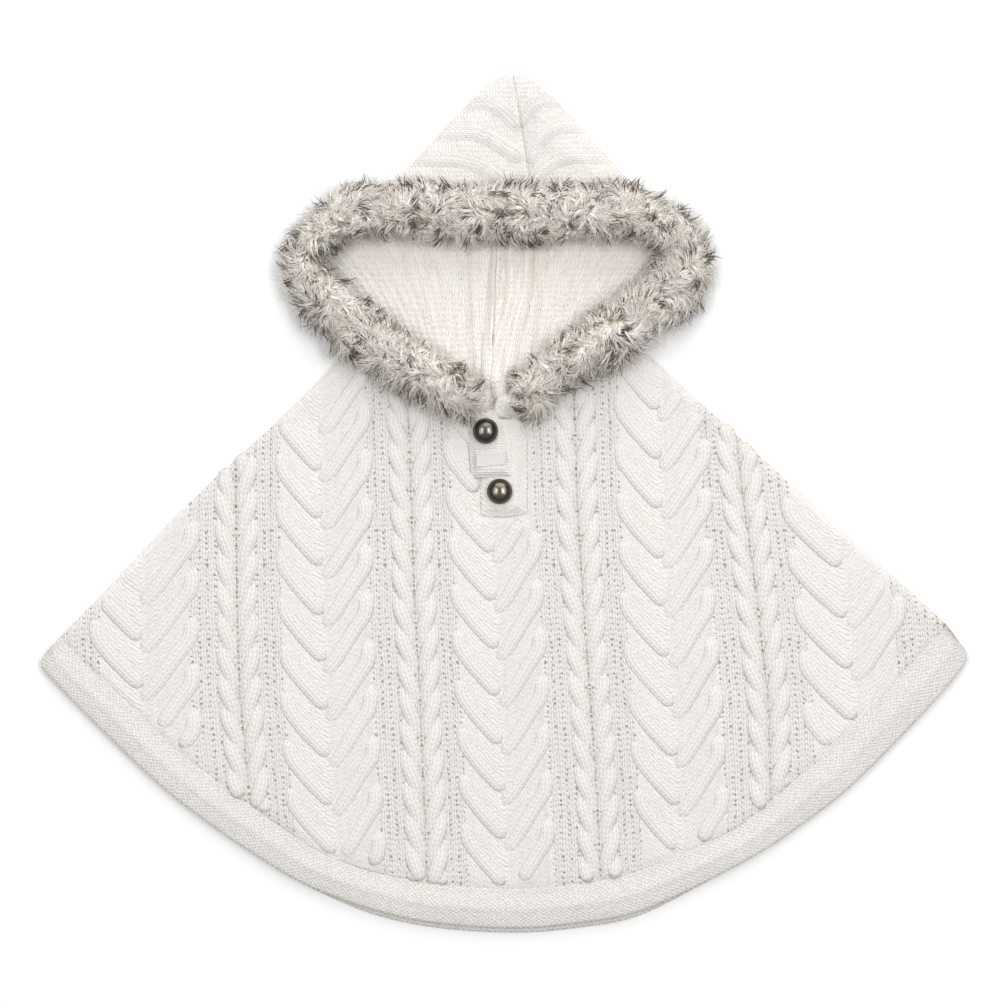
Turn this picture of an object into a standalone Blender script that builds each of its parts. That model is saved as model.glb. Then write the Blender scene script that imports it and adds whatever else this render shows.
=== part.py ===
"""A child's hooded cape in cable knit, laid flat on its back with the face opening of the hood upward.

Lengths are in metres. X runs across the cape, Y from the hem up to the hood's peak, Z up from the
surface that it lies on. The back panel and the hood's inner face lie flat, the front panel lies on
the back, and the fur, the placket and the buttons lie on the front.
"""

import math
from collections import namedtuple

import bmesh
import bpy
import numpy as np
from mathutils import Vector
from mathutils.bvhtree import BVHTree

MM = 0.001

Finish = namedtuple("Finish", "colour roughness metallic")
CREAM = Finish((0.80, 0.76, 0.71), 0.95, 0.0)
WARM_CREAM = Finish((0.78, 0.72, 0.65), 0.95, 0.0)
OATMEAL = Finish((0.70, 0.66, 0.61), 0.95, 0.0)
FROSTED_FUR = Finish((0.62, 0.58, 0.53), 0.9, 0.0)
TAPE = Finish((0.82, 0.79, 0.75), 0.7, 0.0)
GUNMETAL = Finish((0.10, 0.09, 0.075), 0.28, 1.0)

# Cloth
BACK_WALL = 3.0 * MM
FRONT_WALL = 2.4 * MM  # under its cables
PLACKET_WALL = 2.2 * MM
LABEL_WALL = 1.0 * MM
SEAM_GAP = 0.3 * MM
SEAM_CLEARANCE = 0.5 * MM  # along Y, which leaves the gap on a slanting seam
FRONT_UNDERSIDE = BACK_WALL + SEAM_GAP
BED_RAYS = 12  # round a point that something lies over
POINT_CLEARANCE = 2.5 * MM  # a row ends this far short of an edge, whose own point follows

# Chevron cables: strands that come down from both sides and meet in a V
CHEVRON_HALF_WIDTH = 34.0 * MM
CHEVRON_REPEAT = 38.8 * MM
CHEVRON_RELIEF = 4.2 * MM
CHEVRON_SLOPE = 0.95
CHEVRON_HOOK = 11.0 * MM  # how far the strand's outer end turns upward
CHEVRON_COLUMNS = (0.0, 0.3, 0.6, 0.85, 1.0, 1.14)  # shares of the half width
CHEVRON_ROWS = (0.0, 0.12, 0.28, 0.5)  # shares of the repeat
CHEVRON_END = 1.13 * CHEVRON_HALF_WIDTH  # where the strands have sunk to the ladder beside them
CHEVRON_END_RAMP = 0.2 * CHEVRON_HALF_WIDTH
# One strand's height over a repeat, from its lower edge upward
STRAND_AT = (0.0, 0.12, 0.28, 0.5, 0.8, 1.0)
STRAND_HEIGHT = (0.25, 0.95, 1.0, 0.5, 0.4, 0.25)

# Rope cables: pairs of small twisted ropes with a deep line between them
ROPE_COLUMNS = (0.0, 2.2 * MM, 6.8 * MM, 11.4 * MM, 13.8 * MM)
ROPE_CENTRE = 6.8 * MM
ROPE_HALF_WIDTH = 6.2 * MM
ROPE_TWIST = 51.0 * MM
ROPE_ROWS_A_TWIST = 5
ROPE_SLANT = 1.8  # radians of a twist from the rope's middle to its side
ROPE_DIP = 0.76  # share of its height that a rope loses where it passes under
ROPE_RELIEF = 4.0 * MM
LADDER_RELIEF = 0.8 * MM

Cable = namedtuple("Cable", "kind x lean tip")
# x is the centre at Y = 0, lean is the sideways run for each metre up, tip is the Y of one V's point
CABLES = (
    Cable("chevron", -293.3 * MM, -0.08, -102.0 * MM),
    Cable("rope", -214.0 * MM, 0.0, 0.0),
    Cable("chevron", -144.9 * MM, -0.07, -38.0 * MM),
    Cable("rope", -74.7 * MM, -0.04, 0.0),
    Cable("chevron", -9.8 * MM, -0.046, -74.0 * MM),
    Cable("rope", 61.7 * MM, -0.03, 0.0),
    Cable("chevron", 124.7 * MM, -0.07, -41.2 * MM),
    Cable("rope", 195.1 * MM, -0.09, 0.0),
    Cable("chevron", 259.3 * MM, -0.13, -54.0 * MM),
)
EDGE_COLUMN_STEP = 10.0 * MM
EDGE_ROLL = 5.0 * MM  # over which the cables sink to the wall at a seam

# Hem band: its seam with the knit and its free edge, from the left corner to the right one
HEM = MM * np.array([
    # seam x, seam y, edge x, edge y
    (-356.0, -106.0, -367.2, -118.0),
    (-349.6, -114.0, -371.2, -127.6),
    (-338.4, -126.0, -360.8, -141.2),
    (-294.4, -168.4, -314.4, -188.4),
    (-242.4, -214.0, -260.0, -238.0),
    (-180.8, -257.2, -196.0, -282.8),
    (-140.0, -283.0, -148.0, -309.2),
    (-72.0, -302.8, -76.0, -331.6),
    (0.0, -308.4, 0.0, -338.8),
    (56.0, -305.2, 60.0, -334.8),
    (108.0, -294.0, 114.4, -322.8),
    (183.2, -260.4, 195.2, -283.6),
    (230.4, -223.6, 248.0, -248.4),
    (264.0, -194.0, 285.6, -217.2),
    (316.0, -138.8, 340.0, -161.2),
    (344.0, -108.4, 365.6, -130.8),
    (351.2, -100.4, 369.6, -119.6),
    (352.8, -95.6, 362.4, -108.4),
])
HEM_STATIONS = 74
HEM_THICKNESS = 4.6 * MM
HEM_RIDGE = 0.9 * MM
HEM_SHARES = (0.0, 0.12, 0.35, 0.5, 0.65, 0.88, 1.0)  # across the band
HEM_EDGE_SHARE = 0.55  # the edges' share of the band's thickness
HEM_EDGE_ROUNDING = 0.04
HEM_RIDGE_HALF_WIDTH = 0.15
BACK_HEM_LONGER = 4.2 * MM  # at the middle of the hem, where the back shows below the front
BACK_HEM_REACH = 190.0 * MM  # to each side of the middle

# Outlines, as x, y points
FRONT_NECK = MM * np.array([
    (-106.4, 140.4), (-68.0, 106.8), (-28.0, 83.6), (-7.2, 78.0), (20.0, 85.2), (52.0, 106.0),
    (93.6, 138.0),
])
BACK_SHOULDERS = MM * np.array([(-122.4, 124.4), (108.8, 124.4)])  # its neck follows the hood's
BACK_COLUMNS = 60
CORNER_INSET = 2.0 * MM  # a panel's first and last column, in from the hem's corners
SIDE_BOW = 5.2 * MM  # how far the left side seam lies above its chord
SIDE_BOW_X = -253.6 * MM
SIDE_BOW_SPREAD = 55.0 * MM
HOOD_OUTLINE = MM * np.array([
    (-164.0, 190.0), (-144.0, 211.6), (-116.0, 237.2), (-85.6, 262.8), (-76.8, 270.8), (-64.8, 283.6),
    (-47.2, 302.8), (-35.2, 315.6), (-22.4, 328.4), (-15.2, 334.8), (-7.2, 341.2), (0.0, 343.8),
    (6.4, 344.4), (13.6, 343.8), (20.8, 341.2), (28.8, 334.8), (43.2, 322.0), (55.2, 309.2),
    (66.4, 296.4), (77.6, 283.6), (89.6, 270.8), (103.2, 255.6), (128.0, 226.0), (148.0, 194.0),
])
HOOD_ROWS_Y = (255.6 * MM, 302.8 * MM)
HOOD_SIDE_INSET = 2.0 * MM
HOOD_NECK = MM * np.array([
    (-164.0, 184.0), (-149.6, 157.2), (-120.0, 125.6), (-68.0, 96.4), (-7.2, 64.4), (52.0, 93.2),
    (108.8, 125.2), (136.0, 155.6), (148.0, 188.0),
])

# Hood
HOOD_HALVES = (("hood_left", -1), ("hood_right", 1))
HOOD_RIM_Y = 222.8 * MM  # the crown's front edge, under the fur
HOOD_SEAM = (-6.6 * MM, 0.0475)  # back seam: x at Y = 0.2, and its lean
CROWN_SEAM = (29.4 * MM, -0.16)  # crown seam: the same
PEAK_CLEARANCE = 14.0 * MM  # to each side of the crown seam, where the two layers don't join
SEAM_DATUM_Y = 200.0 * MM
CROWN_INSET = 0.8 * MM
CROWN_SIDE_INSET = 4.0 * MM
CROWN_WALL = 3.0 * MM
CROWN_FULLNESS = 3.4 * MM
CROWN_ROUNDING = 27.0 * MM
POCKET_GAP = 0.6 * MM  # from the inner face up to the crown
FOLD_SINK = 1.5 * MM  # the crown's underside at the fold, inside the lower wall
FOLD_WIDTH = 1.0 * MM
CROWN_STEP = 7.0 * MM
RIB_PITCH = 10.0 * MM
RIB_RELIEF = 0.9 * MM
RIBS_END_Y = (205.0 * MM, 214.0 * MM)
RIBS_CLEARANCE = 1.5 * MM  # from the front's neck edge
INNER_CABLE = ((-11.4 * MM, 4.0 * MM), (3.0 * MM, 8.6 * MM))  # centre and half width of each strand
INNER_CABLE_RELIEF = 2.4 * MM
CROWN_BANDS = ((278.0 * MM, 0.28), (254.0 * MM, 0.18))  # lowest Y and side slope of each raised band
CROWN_BAND_HALF_WIDTH = 7.0 * MM
CROWN_BAND_RELIEF = 2.2 * MM

# Fur: outer and inner edges of each half, from the top centre round to the neck
FUR_LEFT_OUTER = MM * np.array([
    (8.0, 254.8), (-36.0, 256.4), (-92.8, 255.6), (-137.6, 247.4), (-169.0, 218.8), (-181.0, 187.6),
    (-173.0, 156.6), (-140.0, 129.4), (-115.2, 111.6), (-73.6, 87.8), (-48.8, 74.4), (-25.2, 71.0),
])
FUR_LEFT_INNER = MM * np.array([
    (8.0, 209.2), (-48.8, 211.6), (-90.4, 216.4), (-127.2, 216.4), (-142.4, 203.6), (-144.8, 187.6),
    (-112.8, 162.8), (-80.8, 135.6), (-48.8, 116.4), (-25.2, 97.4),
])
FUR_RIGHT_OUTER = MM * np.array([
    (8.3, 254.8), (68.0, 254.8), (108.0, 252.2), (145.0, 227.8), (162.0, 203.6), (164.5, 176.0),
    (148.8, 149.4), (120.4, 130.8), (104.8, 120.2), (53.6, 98.8), (32.0, 79.2), (19.2, 77.6),
])
FUR_RIGHT_INNER = MM * np.array([
    (8.3, 209.2), (48.8, 209.2), (104.8, 214.0), (124.8, 202.0), (117.6, 186.0), (97.6, 170.0),
    (63.2, 146.0), (32.0, 121.2), (8.0, 95.0),
])
FUR_STATIONS = 50
FUR_HEIGHT = 23.0 * MM
FUR_EDGE_HEIGHT = 5.0 * MM
FUR_TUFT = 3.2 * MM
FUR_INNER_TUFT = 0.4  # share of the tuft at the inner edge
FUR_LUMP = 2.6 * MM
FUR_OVERHANG_Z = 0.6 * MM  # underside of the fur that hangs past the hood
FUR_TOP_SHARES = (0.0, 0.12, 0.3, 0.5, 0.7, 0.88, 1.0)
FUR_BED_SHARES = (1.0, 0.75, 0.5, 0.25, 0.0)
FUR_BED_REACH = 12.0 * MM
FUR_GAP = 0.6 * MM  # over what it lies on, which clears the ribs between two points of the bed
FUR_TAPER_STATIONS = 3  # over which the pile sinks at the neck end
FUR_TUFT_WAVE = 1.7  # radians a station
FUR_LUMP_WAVES = ((0.9, 5.0), (0.37, -9.0))  # radians a station and across the strip

# Placket: under piece, over piece and label
Strip = namedtuple("Strip", "name upper lower leans wall ribs finish")
# upper and lower edge points, sideways run of the left and right edges, wall, height of the cross ribs
UNDER_STRIP = Strip(
    "placket_under",
    MM * np.array([
        (-19.2, 22.8), (-15.0, 50.0), (-7.0, 84.0), (2.4, 89.0), (11.2, 84.4), (17.6, 51.6),
    ]),
    MM * np.array([(-19.2, -8.4), (0.0, -10.0), (17.6, -6.8)]),
    (0.0, 0.0), PLACKET_WALL, 0.5 * MM, CREAM,
)
OVER_STRIP = Strip(
    "placket_over",
    MM * np.array([(-28.0, 74.0), (-2.0, 77.2)]),
    MM * np.array([(-28.0, 21.0), (7.0, 23.6)]),
    (-0.086, -0.19), PLACKET_WALL, 0.5 * MM, CREAM,
)
LABEL_STRIP = Strip(
    "label",
    MM * np.array([(-24.0, 39.6), (0.8, 42.0)]),
    MM * np.array([(-24.0, 25.2), (0.8, 27.6)]),
    (0.0, 0.0), LABEL_WALL, 0.0, TAPE,
)
PLACKET_COLUMN_STEP = 4.0 * MM
PLACKET_RIB_PITCH = 6.4 * MM
PLACKET_BOX = MM * np.array([(-28.0, -11.0), (18.0, 92.0)])  # where the front is pressed flat
PRESS_RAMP = 7.0 * MM

# Buttons: domed, on a thin rim
Button = namedtuple("Button", "name x y lies_on")
BUTTONS = (
    Button("button_upper", -15.6 * MM, 58.6 * MM, "placket_over"),
    Button("button_lower", -4.3 * MM, 10.5 * MM, "placket_under"),
)
BUTTON_RADIUS = 10.2 * MM
BUTTON_RIM_HEIGHT = 1.4 * MM
BUTTON_BEVEL = 0.4 * MM
BUTTON_UNDERCUT = 0.2 * MM
DOME_RADIUS = 9.3 * MM
DOME_HEIGHT = 6.4 * MM
BUTTON_STEPS = 32


# Curves and edges


def smooth(points, count):
    """Points spaced evenly along the Catmull-Rom curve through the given ones."""
    ends = [2 * points[:1] - points[1:2], points, 2 * points[-1:] - points[-2:-1]]
    guide = np.vstack(ends)
    a, b, c, d = (guide[k : len(guide) - 3 + k, None] for k in range(4))
    t = np.linspace(0, 1, 16, endpoint=False)[None, :, None]
    bend = 2 * b + (c - a) * t + (2 * a - 5 * b + 4 * c - d) * t**2 + (3 * b - a - 3 * c + d) * t**3
    dense = np.vstack([bend.reshape(-1, points.shape[1]) / 2, points[-1:]])
    run = np.concatenate([[0], np.cumsum(np.linalg.norm(np.diff(dense, axis=0), axis=1))])
    at = np.linspace(0, run[-1], count)
    return np.column_stack([np.interp(at, run, line) for line in dense.T])


def edge(points, shift=0.0):
    """The curve through the points, moved along Y, as a function of x."""
    line = smooth(points, 12 * len(points))
    return lambda x: np.interp(x, line[:, 0], line[:, 1]) + shift


def ramp(value, width):
    """0 below zero, 1 above the width, and an even S between them."""
    share = np.clip(value / width, 0, 1)
    return share * share * (3 - 2 * share)


def depth_in_box(x, y, box):
    """Distance from the nearest side, positive inside the box."""
    return min(x - box[0][0], box[1][0] - x, y - box[0][1], box[1][1] - y)


def depth_in_outline(x, y, outline):
    """Distance from the closed outline, positive inside it."""
    start = outline
    along = np.roll(outline, -1, axis=0) - start
    offset = np.array([x, y]) - start
    share = np.clip((offset * along).sum(1) / (along * along).sum(1), 0, 1)
    nearest = np.linalg.norm(offset - share[:, None] * along, axis=1).min()
    spans = (start[:, 1] > y) != (start[:, 1] + along[:, 1] > y)
    with np.errstate(divide="ignore", invalid="ignore"):
        crossing = start[:, 0] + along[:, 0] * (y - start[:, 1]) / along[:, 1]
    inside = np.count_nonzero(spans & (x < crossing)) % 2
    return nearest if inside else -nearest


# Relief of the knit


def cable_offset(cable, x, y):
    return x - cable.x - cable.lean * y


def chevron_rise(offset):
    """How far above the V's point its lower edge lies: a straight arm that turns up at its outer end."""
    out = np.minimum(np.abs(offset), CHEVRON_HALF_WIDTH)
    return CHEVRON_SLOPE * out + CHEVRON_HOOK * (out / CHEVRON_HALF_WIDTH) ** 6


def chevron_height(cable, offset, y):
    phase = (y - cable.tip - chevron_rise(offset)) / CHEVRON_REPEAT % 1
    body = ramp(CHEVRON_END - abs(offset), CHEVRON_END_RAMP)
    return CHEVRON_RELIEF * body * np.interp(phase, STRAND_AT, STRAND_HEIGHT)


def rope_height(offset, y):
    across = (abs(offset) - ROPE_CENTRE) / ROPE_HALF_WIDTH
    round_back = math.sqrt(max(0.0, 1 - across * across))
    crossing = 0.5 - 0.5 * math.cos(2 * math.pi * y / ROPE_TWIST + ROPE_SLANT * across)
    return ROPE_RELIEF * round_back * (1 - ROPE_DIP * crossing)


def cable_relief(x, y):
    """Height of the front's cables over its wall."""
    cable = min(CABLES, key=lambda c: abs(cable_offset(c, x, y)))
    offset = cable_offset(cable, x, y)
    if cable.kind == "chevron":
        return max(LADDER_RELIEF, chevron_height(cable, offset, y))
    return max(LADDER_RELIEF * ramp(abs(offset), ROPE_HALF_WIDTH), rope_height(offset, y))


# Walls


Column = namedtuple("Column", "x lean shift rows")
# A line of points x + lean * y. Its rows lie at shift + rows, and neighbours join row by row.


def meet(line, column):
    """The Y at which a column crosses an edge line."""
    y = float(line(column.x))
    for _ in range(12):
        y = float(line(column.x + column.lean * y))
    return y


def stitch(mesh, left, right):
    """Joins two columns of (vertex, row) pairs, top to bottom, by a strip of triangles."""
    i = j = 0
    while i < len(left) - 1 or j < len(right) - 1:
        right_done = j == len(right) - 1
        if right_done or (i < len(left) - 1 and left[i + 1][1] >= right[j + 1][1]):
            mesh.faces.new((left[i][0], left[i + 1][0], right[j][0]))
            i += 1
        else:
            mesh.faces.new((left[i][0], right[j + 1][0], right[j][0]))
            j += 1


def wall(columns, upper, lower, top, underside):
    """A closed wall between two edge lines, its top at top(x, y).

    The underside is one flat face at a given Z, or follows a function at the same points as the top.
    """
    mesh = bmesh.new()
    lines = []
    for column in columns:
        high = meet(upper, column)
        low = meet(lower, column)
        rows = column.shift + np.sort(np.asarray(column.rows, float))[::-1]
        inner = rows[(rows < high - POINT_CLEARANCE) & (rows > low + POINT_CLEARANCE)]
        line = []
        for y in (high, *inner, low):
            x = column.x + column.lean * y
            line.append((mesh.verts.new((x, y, top(x, y))), y - column.shift))
        lines.append(line)
    for left, right in zip(lines, lines[1:]):
        stitch(mesh, left, right)
    rim = [line[0][0] for line in lines] + [vertex for vertex, _ in lines[-1][1:]]
    rim += [line[-1][0] for line in lines[-2::-1]] + [vertex for vertex, _ in lines[0][-2:0:-1]]
    below = {}
    for vertex in rim if not callable(underside) else [v for line in lines for v, _ in line]:
        x, y, _ = vertex.co
        z = underside(x, y) if callable(underside) else underside
        below[vertex] = mesh.verts.new((x, y, z))
    if callable(underside):
        for face in list(mesh.faces):
            mesh.faces.new([below[vertex] for vertex in face.verts][::-1])
    else:
        mesh.faces.new([below[vertex] for vertex in rim])
    for a, b in zip(rim, rim[1:] + rim[:1]):
        mesh.faces.new((a, b, below[b], below[a]))
    return mesh


def loft(sections):
    """A closed solid through equal closed sections, with flat ends."""
    mesh = bmesh.new()
    rings = [[mesh.verts.new(point) for point in section] for section in sections]
    for ring, following in zip(rings, rings[1:]):
        for k in range(len(ring)):
            m = (k + 1) % len(ring)
            mesh.faces.new((ring[k], ring[m], following[m], following[k]))
    mesh.faces.new(rings[0])
    mesh.faces.new(rings[-1][::-1])
    return mesh


# Scene


def clear_scene():
    for thing in list(bpy.data.objects):
        bpy.data.objects.remove(thing, do_unlink=True)


def material(name, finish):
    made = bpy.data.materials.new(name)
    made.use_nodes = True
    shader = made.node_tree.nodes["Principled BSDF"]
    shader.inputs["Base Color"].default_value = (*finish.colour, 1.0)
    shader.inputs["Roughness"].default_value = finish.roughness
    shader.inputs["Metallic"].default_value = finish.metallic
    made.diffuse_color = (*finish.colour, 1.0)
    return made


def add(name, mesh, finish, collection):
    """A named object from a bmesh, facing outwards and shaded smooth up to its sharp edges."""
    bmesh.ops.recalc_face_normals(mesh, faces=mesh.faces)
    data = bpy.data.meshes.new(name)
    mesh.to_mesh(data)
    mesh.free()
    data.shade_smooth()
    data.set_sharp_from_angle(angle=math.radians(50))
    thing = bpy.data.objects.new(name, data)
    data.materials.append(material(name + "_finish", finish))
    collection.objects.link(thing)
    return thing


def bed_under(things):
    """A function that gives the highest of the things' tops near a point, or None past their edges."""
    bpy.context.view_layer.update()
    graph = bpy.context.evaluated_depsgraph_get()
    trees = [BVHTree.FromObject(thing, graph) for thing in things]
    meshes = [thing.evaluated_get(graph).data for thing in things]
    peaks = np.array([vertex.co for mesh in meshes for vertex in mesh.vertices])
    down = Vector((0, 0, -1))

    def bed(x, y, reach):
        near = np.hypot(peaks[:, 0] - x, peaks[:, 1] - y) < reach
        found = list(peaks[near, 2])
        for angle in np.linspace(0, 2 * math.pi, BED_RAYS, endpoint=False):
            for radius in (0.0, reach / 2, reach):
                start = Vector((x + radius * math.cos(angle), y + radius * math.sin(angle), 1.0))
                hits = [tree.ray_cast(start, down)[0] for tree in trees]
                found += [hit.z for hit in hits if hit]
        return max(found, default=None)

    return bed


# Panels of the body


def front_columns():
    """Columns of points that follow the cables, with a plain one in each ladder between them."""
    rope_rows = np.arange(-8, 8, 1 / ROPE_ROWS_A_TWIST) * ROPE_TWIST
    chevron_rows = (np.arange(-12, 12)[:, None] + CHEVRON_ROWS).ravel() * CHEVRON_REPEAT
    columns = []
    for cable in CABLES:
        if cable.kind == "rope":
            offsets = np.array(ROPE_COLUMNS)
        else:
            offsets = CHEVRON_HALF_WIDTH * np.array(CHEVRON_COLUMNS)
        offsets = np.concatenate([-offsets[:0:-1], offsets])
        if columns:
            last = columns[-1]
            middle = (last.x + cable.x + offsets[0]) / 2
            columns.append(Column(middle, (last.lean + cable.lean) / 2, 0.0, rope_rows))
        for offset in offsets:
            if cable.kind == "rope":
                columns.append(Column(cable.x + offset, cable.lean, 0.0, rope_rows))
            else:
                shift = cable.tip + chevron_rise(offset)
                columns.append(Column(cable.x + offset, cable.lean, shift, chevron_rows))
    return columns


def side_columns(columns, left, right):
    """The columns between two limits, carried on to them in even steps past the last cable."""
    rows = np.arange(-8, 8, 1 / ROPE_ROWS_A_TWIST) * ROPE_TWIST
    first, last = columns[0], columns[-1]
    before = np.arange(first.x - EDGE_COLUMN_STEP, left + EDGE_COLUMN_STEP / 2, -EDGE_COLUMN_STEP)[::-1]
    after = np.arange(last.x + EDGE_COLUMN_STEP, right - EDGE_COLUMN_STEP / 2, EDGE_COLUMN_STEP)
    start = [Column(x, 0.0, 0.0, rows) for x in (left, *before)]
    end = [Column(x, 0.0, 0.0, rows) for x in (*after, right)]
    return start + [column for column in columns if left < column.x < right] + end


def body_edges(neck, left_shoulder, right_shoulder):
    """The panel's upper line, up one side seam, round the neck and down the other, and its hem seam."""
    seam = smooth(HEM, 8 * len(HEM))[:, :2]
    sides = np.vstack([HEM[:1, :2], [left_shoulder], [right_shoulder], HEM[-1:, :2]])
    steepness = np.diff(sides[:, 1]) / np.diff(sides[:, 0])

    def upper(x):
        bow = SIDE_BOW * np.exp(-(((x - SIDE_BOW_X) / SIDE_BOW_SPREAD) ** 2))
        up = sides[0, 1] + steepness[0] * (x - sides[0, 0]) + bow
        down = sides[3, 1] + steepness[2] * (x - sides[3, 0])
        return np.minimum(np.minimum(up, down), neck(x))

    def lower(x):
        return np.interp(x, seam[:, 0], seam[:, 1]) + SEAM_CLEARANCE

    return upper, lower, HEM[0, 0] + CORNER_INSET, HEM[-1, 0] - CORNER_INSET


def body_back(collection):
    neck = edge(HOOD_NECK, -SEAM_CLEARANCE)
    upper, lower, left, right = body_edges(neck, BACK_SHOULDERS[0], BACK_SHOULDERS[1])
    plain = np.linspace(left, right, BACK_COLUMNS)
    by_neck = np.arange(BACK_SHOULDERS[0, 0] - RIB_PITCH, BACK_SHOULDERS[1, 0] + RIB_PITCH, RIB_PITCH / 2)
    beside = plain[(plain < by_neck[0]) | (plain > by_neck[-1])]
    columns = [Column(x, 0.0, 0.0, ()) for x in np.sort(np.concatenate([beside, by_neck]))]
    mesh = wall(columns, upper, lower, lambda x, y: BACK_WALL, 0.0)
    return add("body_back", mesh, CREAM, collection)


def body_front(collection, fur_outline):
    neck = edge(FRONT_NECK)
    upper, lower, left, right = body_edges(neck, FRONT_NECK[0], FRONT_NECK[-1])

    def top(x, y):
        pressed = ramp(-depth_in_box(x, y, PLACKET_BOX), PRESS_RAMP)
        pressed = min(pressed, ramp(-depth_in_outline(x, y, fur_outline) + PRESS_RAMP, PRESS_RAMP))
        seam = ramp(min(upper(x) - y, y - lower(x)), EDGE_ROLL)
        return FRONT_UNDERSIDE + FRONT_WALL + pressed * seam * cable_relief(x, y)

    columns = side_columns(front_columns(), left, right)
    mesh = wall(columns, upper, lower, top, FRONT_UNDERSIDE)
    return add("body_front", mesh, CREAM, collection)


def hem_band(name, underside, thickness, longer, collection):
    """A band along the hem, lofted between its seam and its free edge, a little ridged along its middle."""
    sections = []
    for seam_x, seam_y, edge_x, edge_y in smooth(HEM, HEM_STATIONS):
        edge_y -= longer * (1 - ramp(abs(edge_x) - BACK_HEM_REACH / 2, BACK_HEM_REACH / 2))
        across = np.array(HEM_SHARES)
        x = seam_x + (edge_x - seam_x) * across
        y = seam_y + (edge_y - seam_y) * across
        roll = np.sqrt(np.sin(math.pi * np.clip(across, HEM_EDGE_ROUNDING, 1 - HEM_EDGE_ROUNDING)))
        ridge = HEM_RIDGE * np.maximum(0, 1 - np.abs(across - 0.5) / HEM_RIDGE_HALF_WIDTH)
        z = underside + thickness * (HEM_EDGE_SHARE + (1 - HEM_EDGE_SHARE) * roll) + ridge
        above = np.column_stack([x, y, z])
        below = [(x[-1], y[-1], underside), (x[0], y[0], underside)]
        sections.append([*above.tolist(), *below])
    return add(name, loft(sections), OATMEAL, collection)


# Hood


def inner_relief(x, y, front_edge):
    """Ribs of the hood's inner face with a thick two-strand cable up its middle, down to the front's neck."""
    rib = RIB_RELIEF * (0.5 + 0.5 * math.cos(2 * math.pi * x / RIB_PITCH))
    for centre, half_width in INNER_CABLE:
        across = (x - centre) / half_width
        if abs(across) < 1:
            rib = max(rib, INNER_CABLE_RELIEF * math.sqrt(1 - across * across))
    shown = 1 - ramp(y - RIBS_END_Y[0], RIBS_END_Y[1] - RIBS_END_Y[0])
    return rib * shown * ramp(y - front_edge(x) - RIBS_CLEARANCE, EDGE_ROLL)


def seam_column(seam, x_shift):
    return seam[0] - seam[1] * SEAM_DATUM_Y + x_shift, seam[1]


def half_columns(x_seam, lean, x_side, step, rows):
    """Columns from the seam to the side. They lean with the seam, and less the nearer the side."""
    count = max(2, round(abs(x_side - x_seam) / step))
    shares = np.linspace(0, 1, count + 1)
    made = [Column(x_seam + (x_side - x_seam) * s, lean * (1 - s), 0.0, rows) for s in shares]
    return made if x_side > x_seam else made[::-1]


def hood_half(name, side, front_edge, collection):
    """One half of the hood, folded: its inner face lies flat, and the crown comes back over it."""
    outline = edge(HOOD_OUTLINE)
    neck = edge(HOOD_NECK)
    gap = side * SEAM_GAP / 2
    peak = HOOD_OUTLINE[:, 1].argmax()
    side_line = HOOD_OUTLINE[: peak + 1] if side < 0 else HOOD_OUTLINE[:peak:-1]
    x_side = side_line[0, 0] - side * HOOD_SIDE_INSET
    rows = (HOOD_NECK[:, 1].max(), *RIBS_END_Y, *HOOD_ROWS_Y)
    x_seam, lean = seam_column(HOOD_SEAM, gap)
    columns = []
    for column in half_columns(x_seam, lean, x_side, RIB_PITCH / 2, rows):
        start = meet(front_edge, column) + RIBS_CLEARANCE
        columns.append(column._replace(rows=(start, start + EDGE_ROLL, *rows)))
    lower_mesh = wall(
        columns, outline, neck, lambda x, y: BACK_WALL + inner_relief(x, y, front_edge), 0.0
    )
    hood = add(name, lower_mesh, WARM_CREAM, collection)

    x_seam, lean = seam_column(CROWN_SEAM, gap)

    def fullness(x, y):
        return math.sqrt(float(np.clip((outline(x) - y) / CROWN_ROUNDING, 0, 1)))

    def crown_top(x, y):
        round_up = fullness(x, y)
        band = 0.0
        for low_y, slope in CROWN_BANDS:
            across = (y - low_y - slope * abs(x - x_seam)) / CROWN_BAND_HALF_WIDTH
            band = max(band, math.sqrt(max(0.0, 1 - across * across)))
        rise = POCKET_GAP + SEAM_GAP + CROWN_WALL + CROWN_FULLNESS + CROWN_BAND_RELIEF * band
        return BACK_WALL + SEAM_GAP + round_up * rise

    def crown_under(x, y):
        by_peak = abs(x - x_seam - lean * y) < PEAK_CLEARANCE
        at_fold = outline(x) - CROWN_INSET - y < FOLD_WIDTH and not by_peak
        return FOLD_SINK if at_fold else BACK_WALL + POCKET_GAP + fullness(x, y) * CROWN_FULLNESS

    x_side = np.interp(HOOD_RIM_Y, side_line[:, 1], side_line[:, 0]) - side * CROWN_SIDE_INSET
    rows = np.arange(HOOD_RIM_Y, HOOD_OUTLINE[peak, 1], CROWN_STEP)
    columns = half_columns(x_seam, lean, x_side, CROWN_STEP, rows)
    crown_mesh = wall(
        columns, lambda x: outline(x) - CROWN_INSET, lambda x: HOOD_RIM_Y + 0 * x, crown_top, crown_under
    )
    crown = add(name + "_crown", crown_mesh, WARM_CREAM, collection)
    crown.hide_render = True
    crown.display_type = "WIRE"
    union = hood.modifiers.new("crown", "BOOLEAN")
    union.operation = "UNION"
    union.object = crown
    return hood


# Trim


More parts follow.
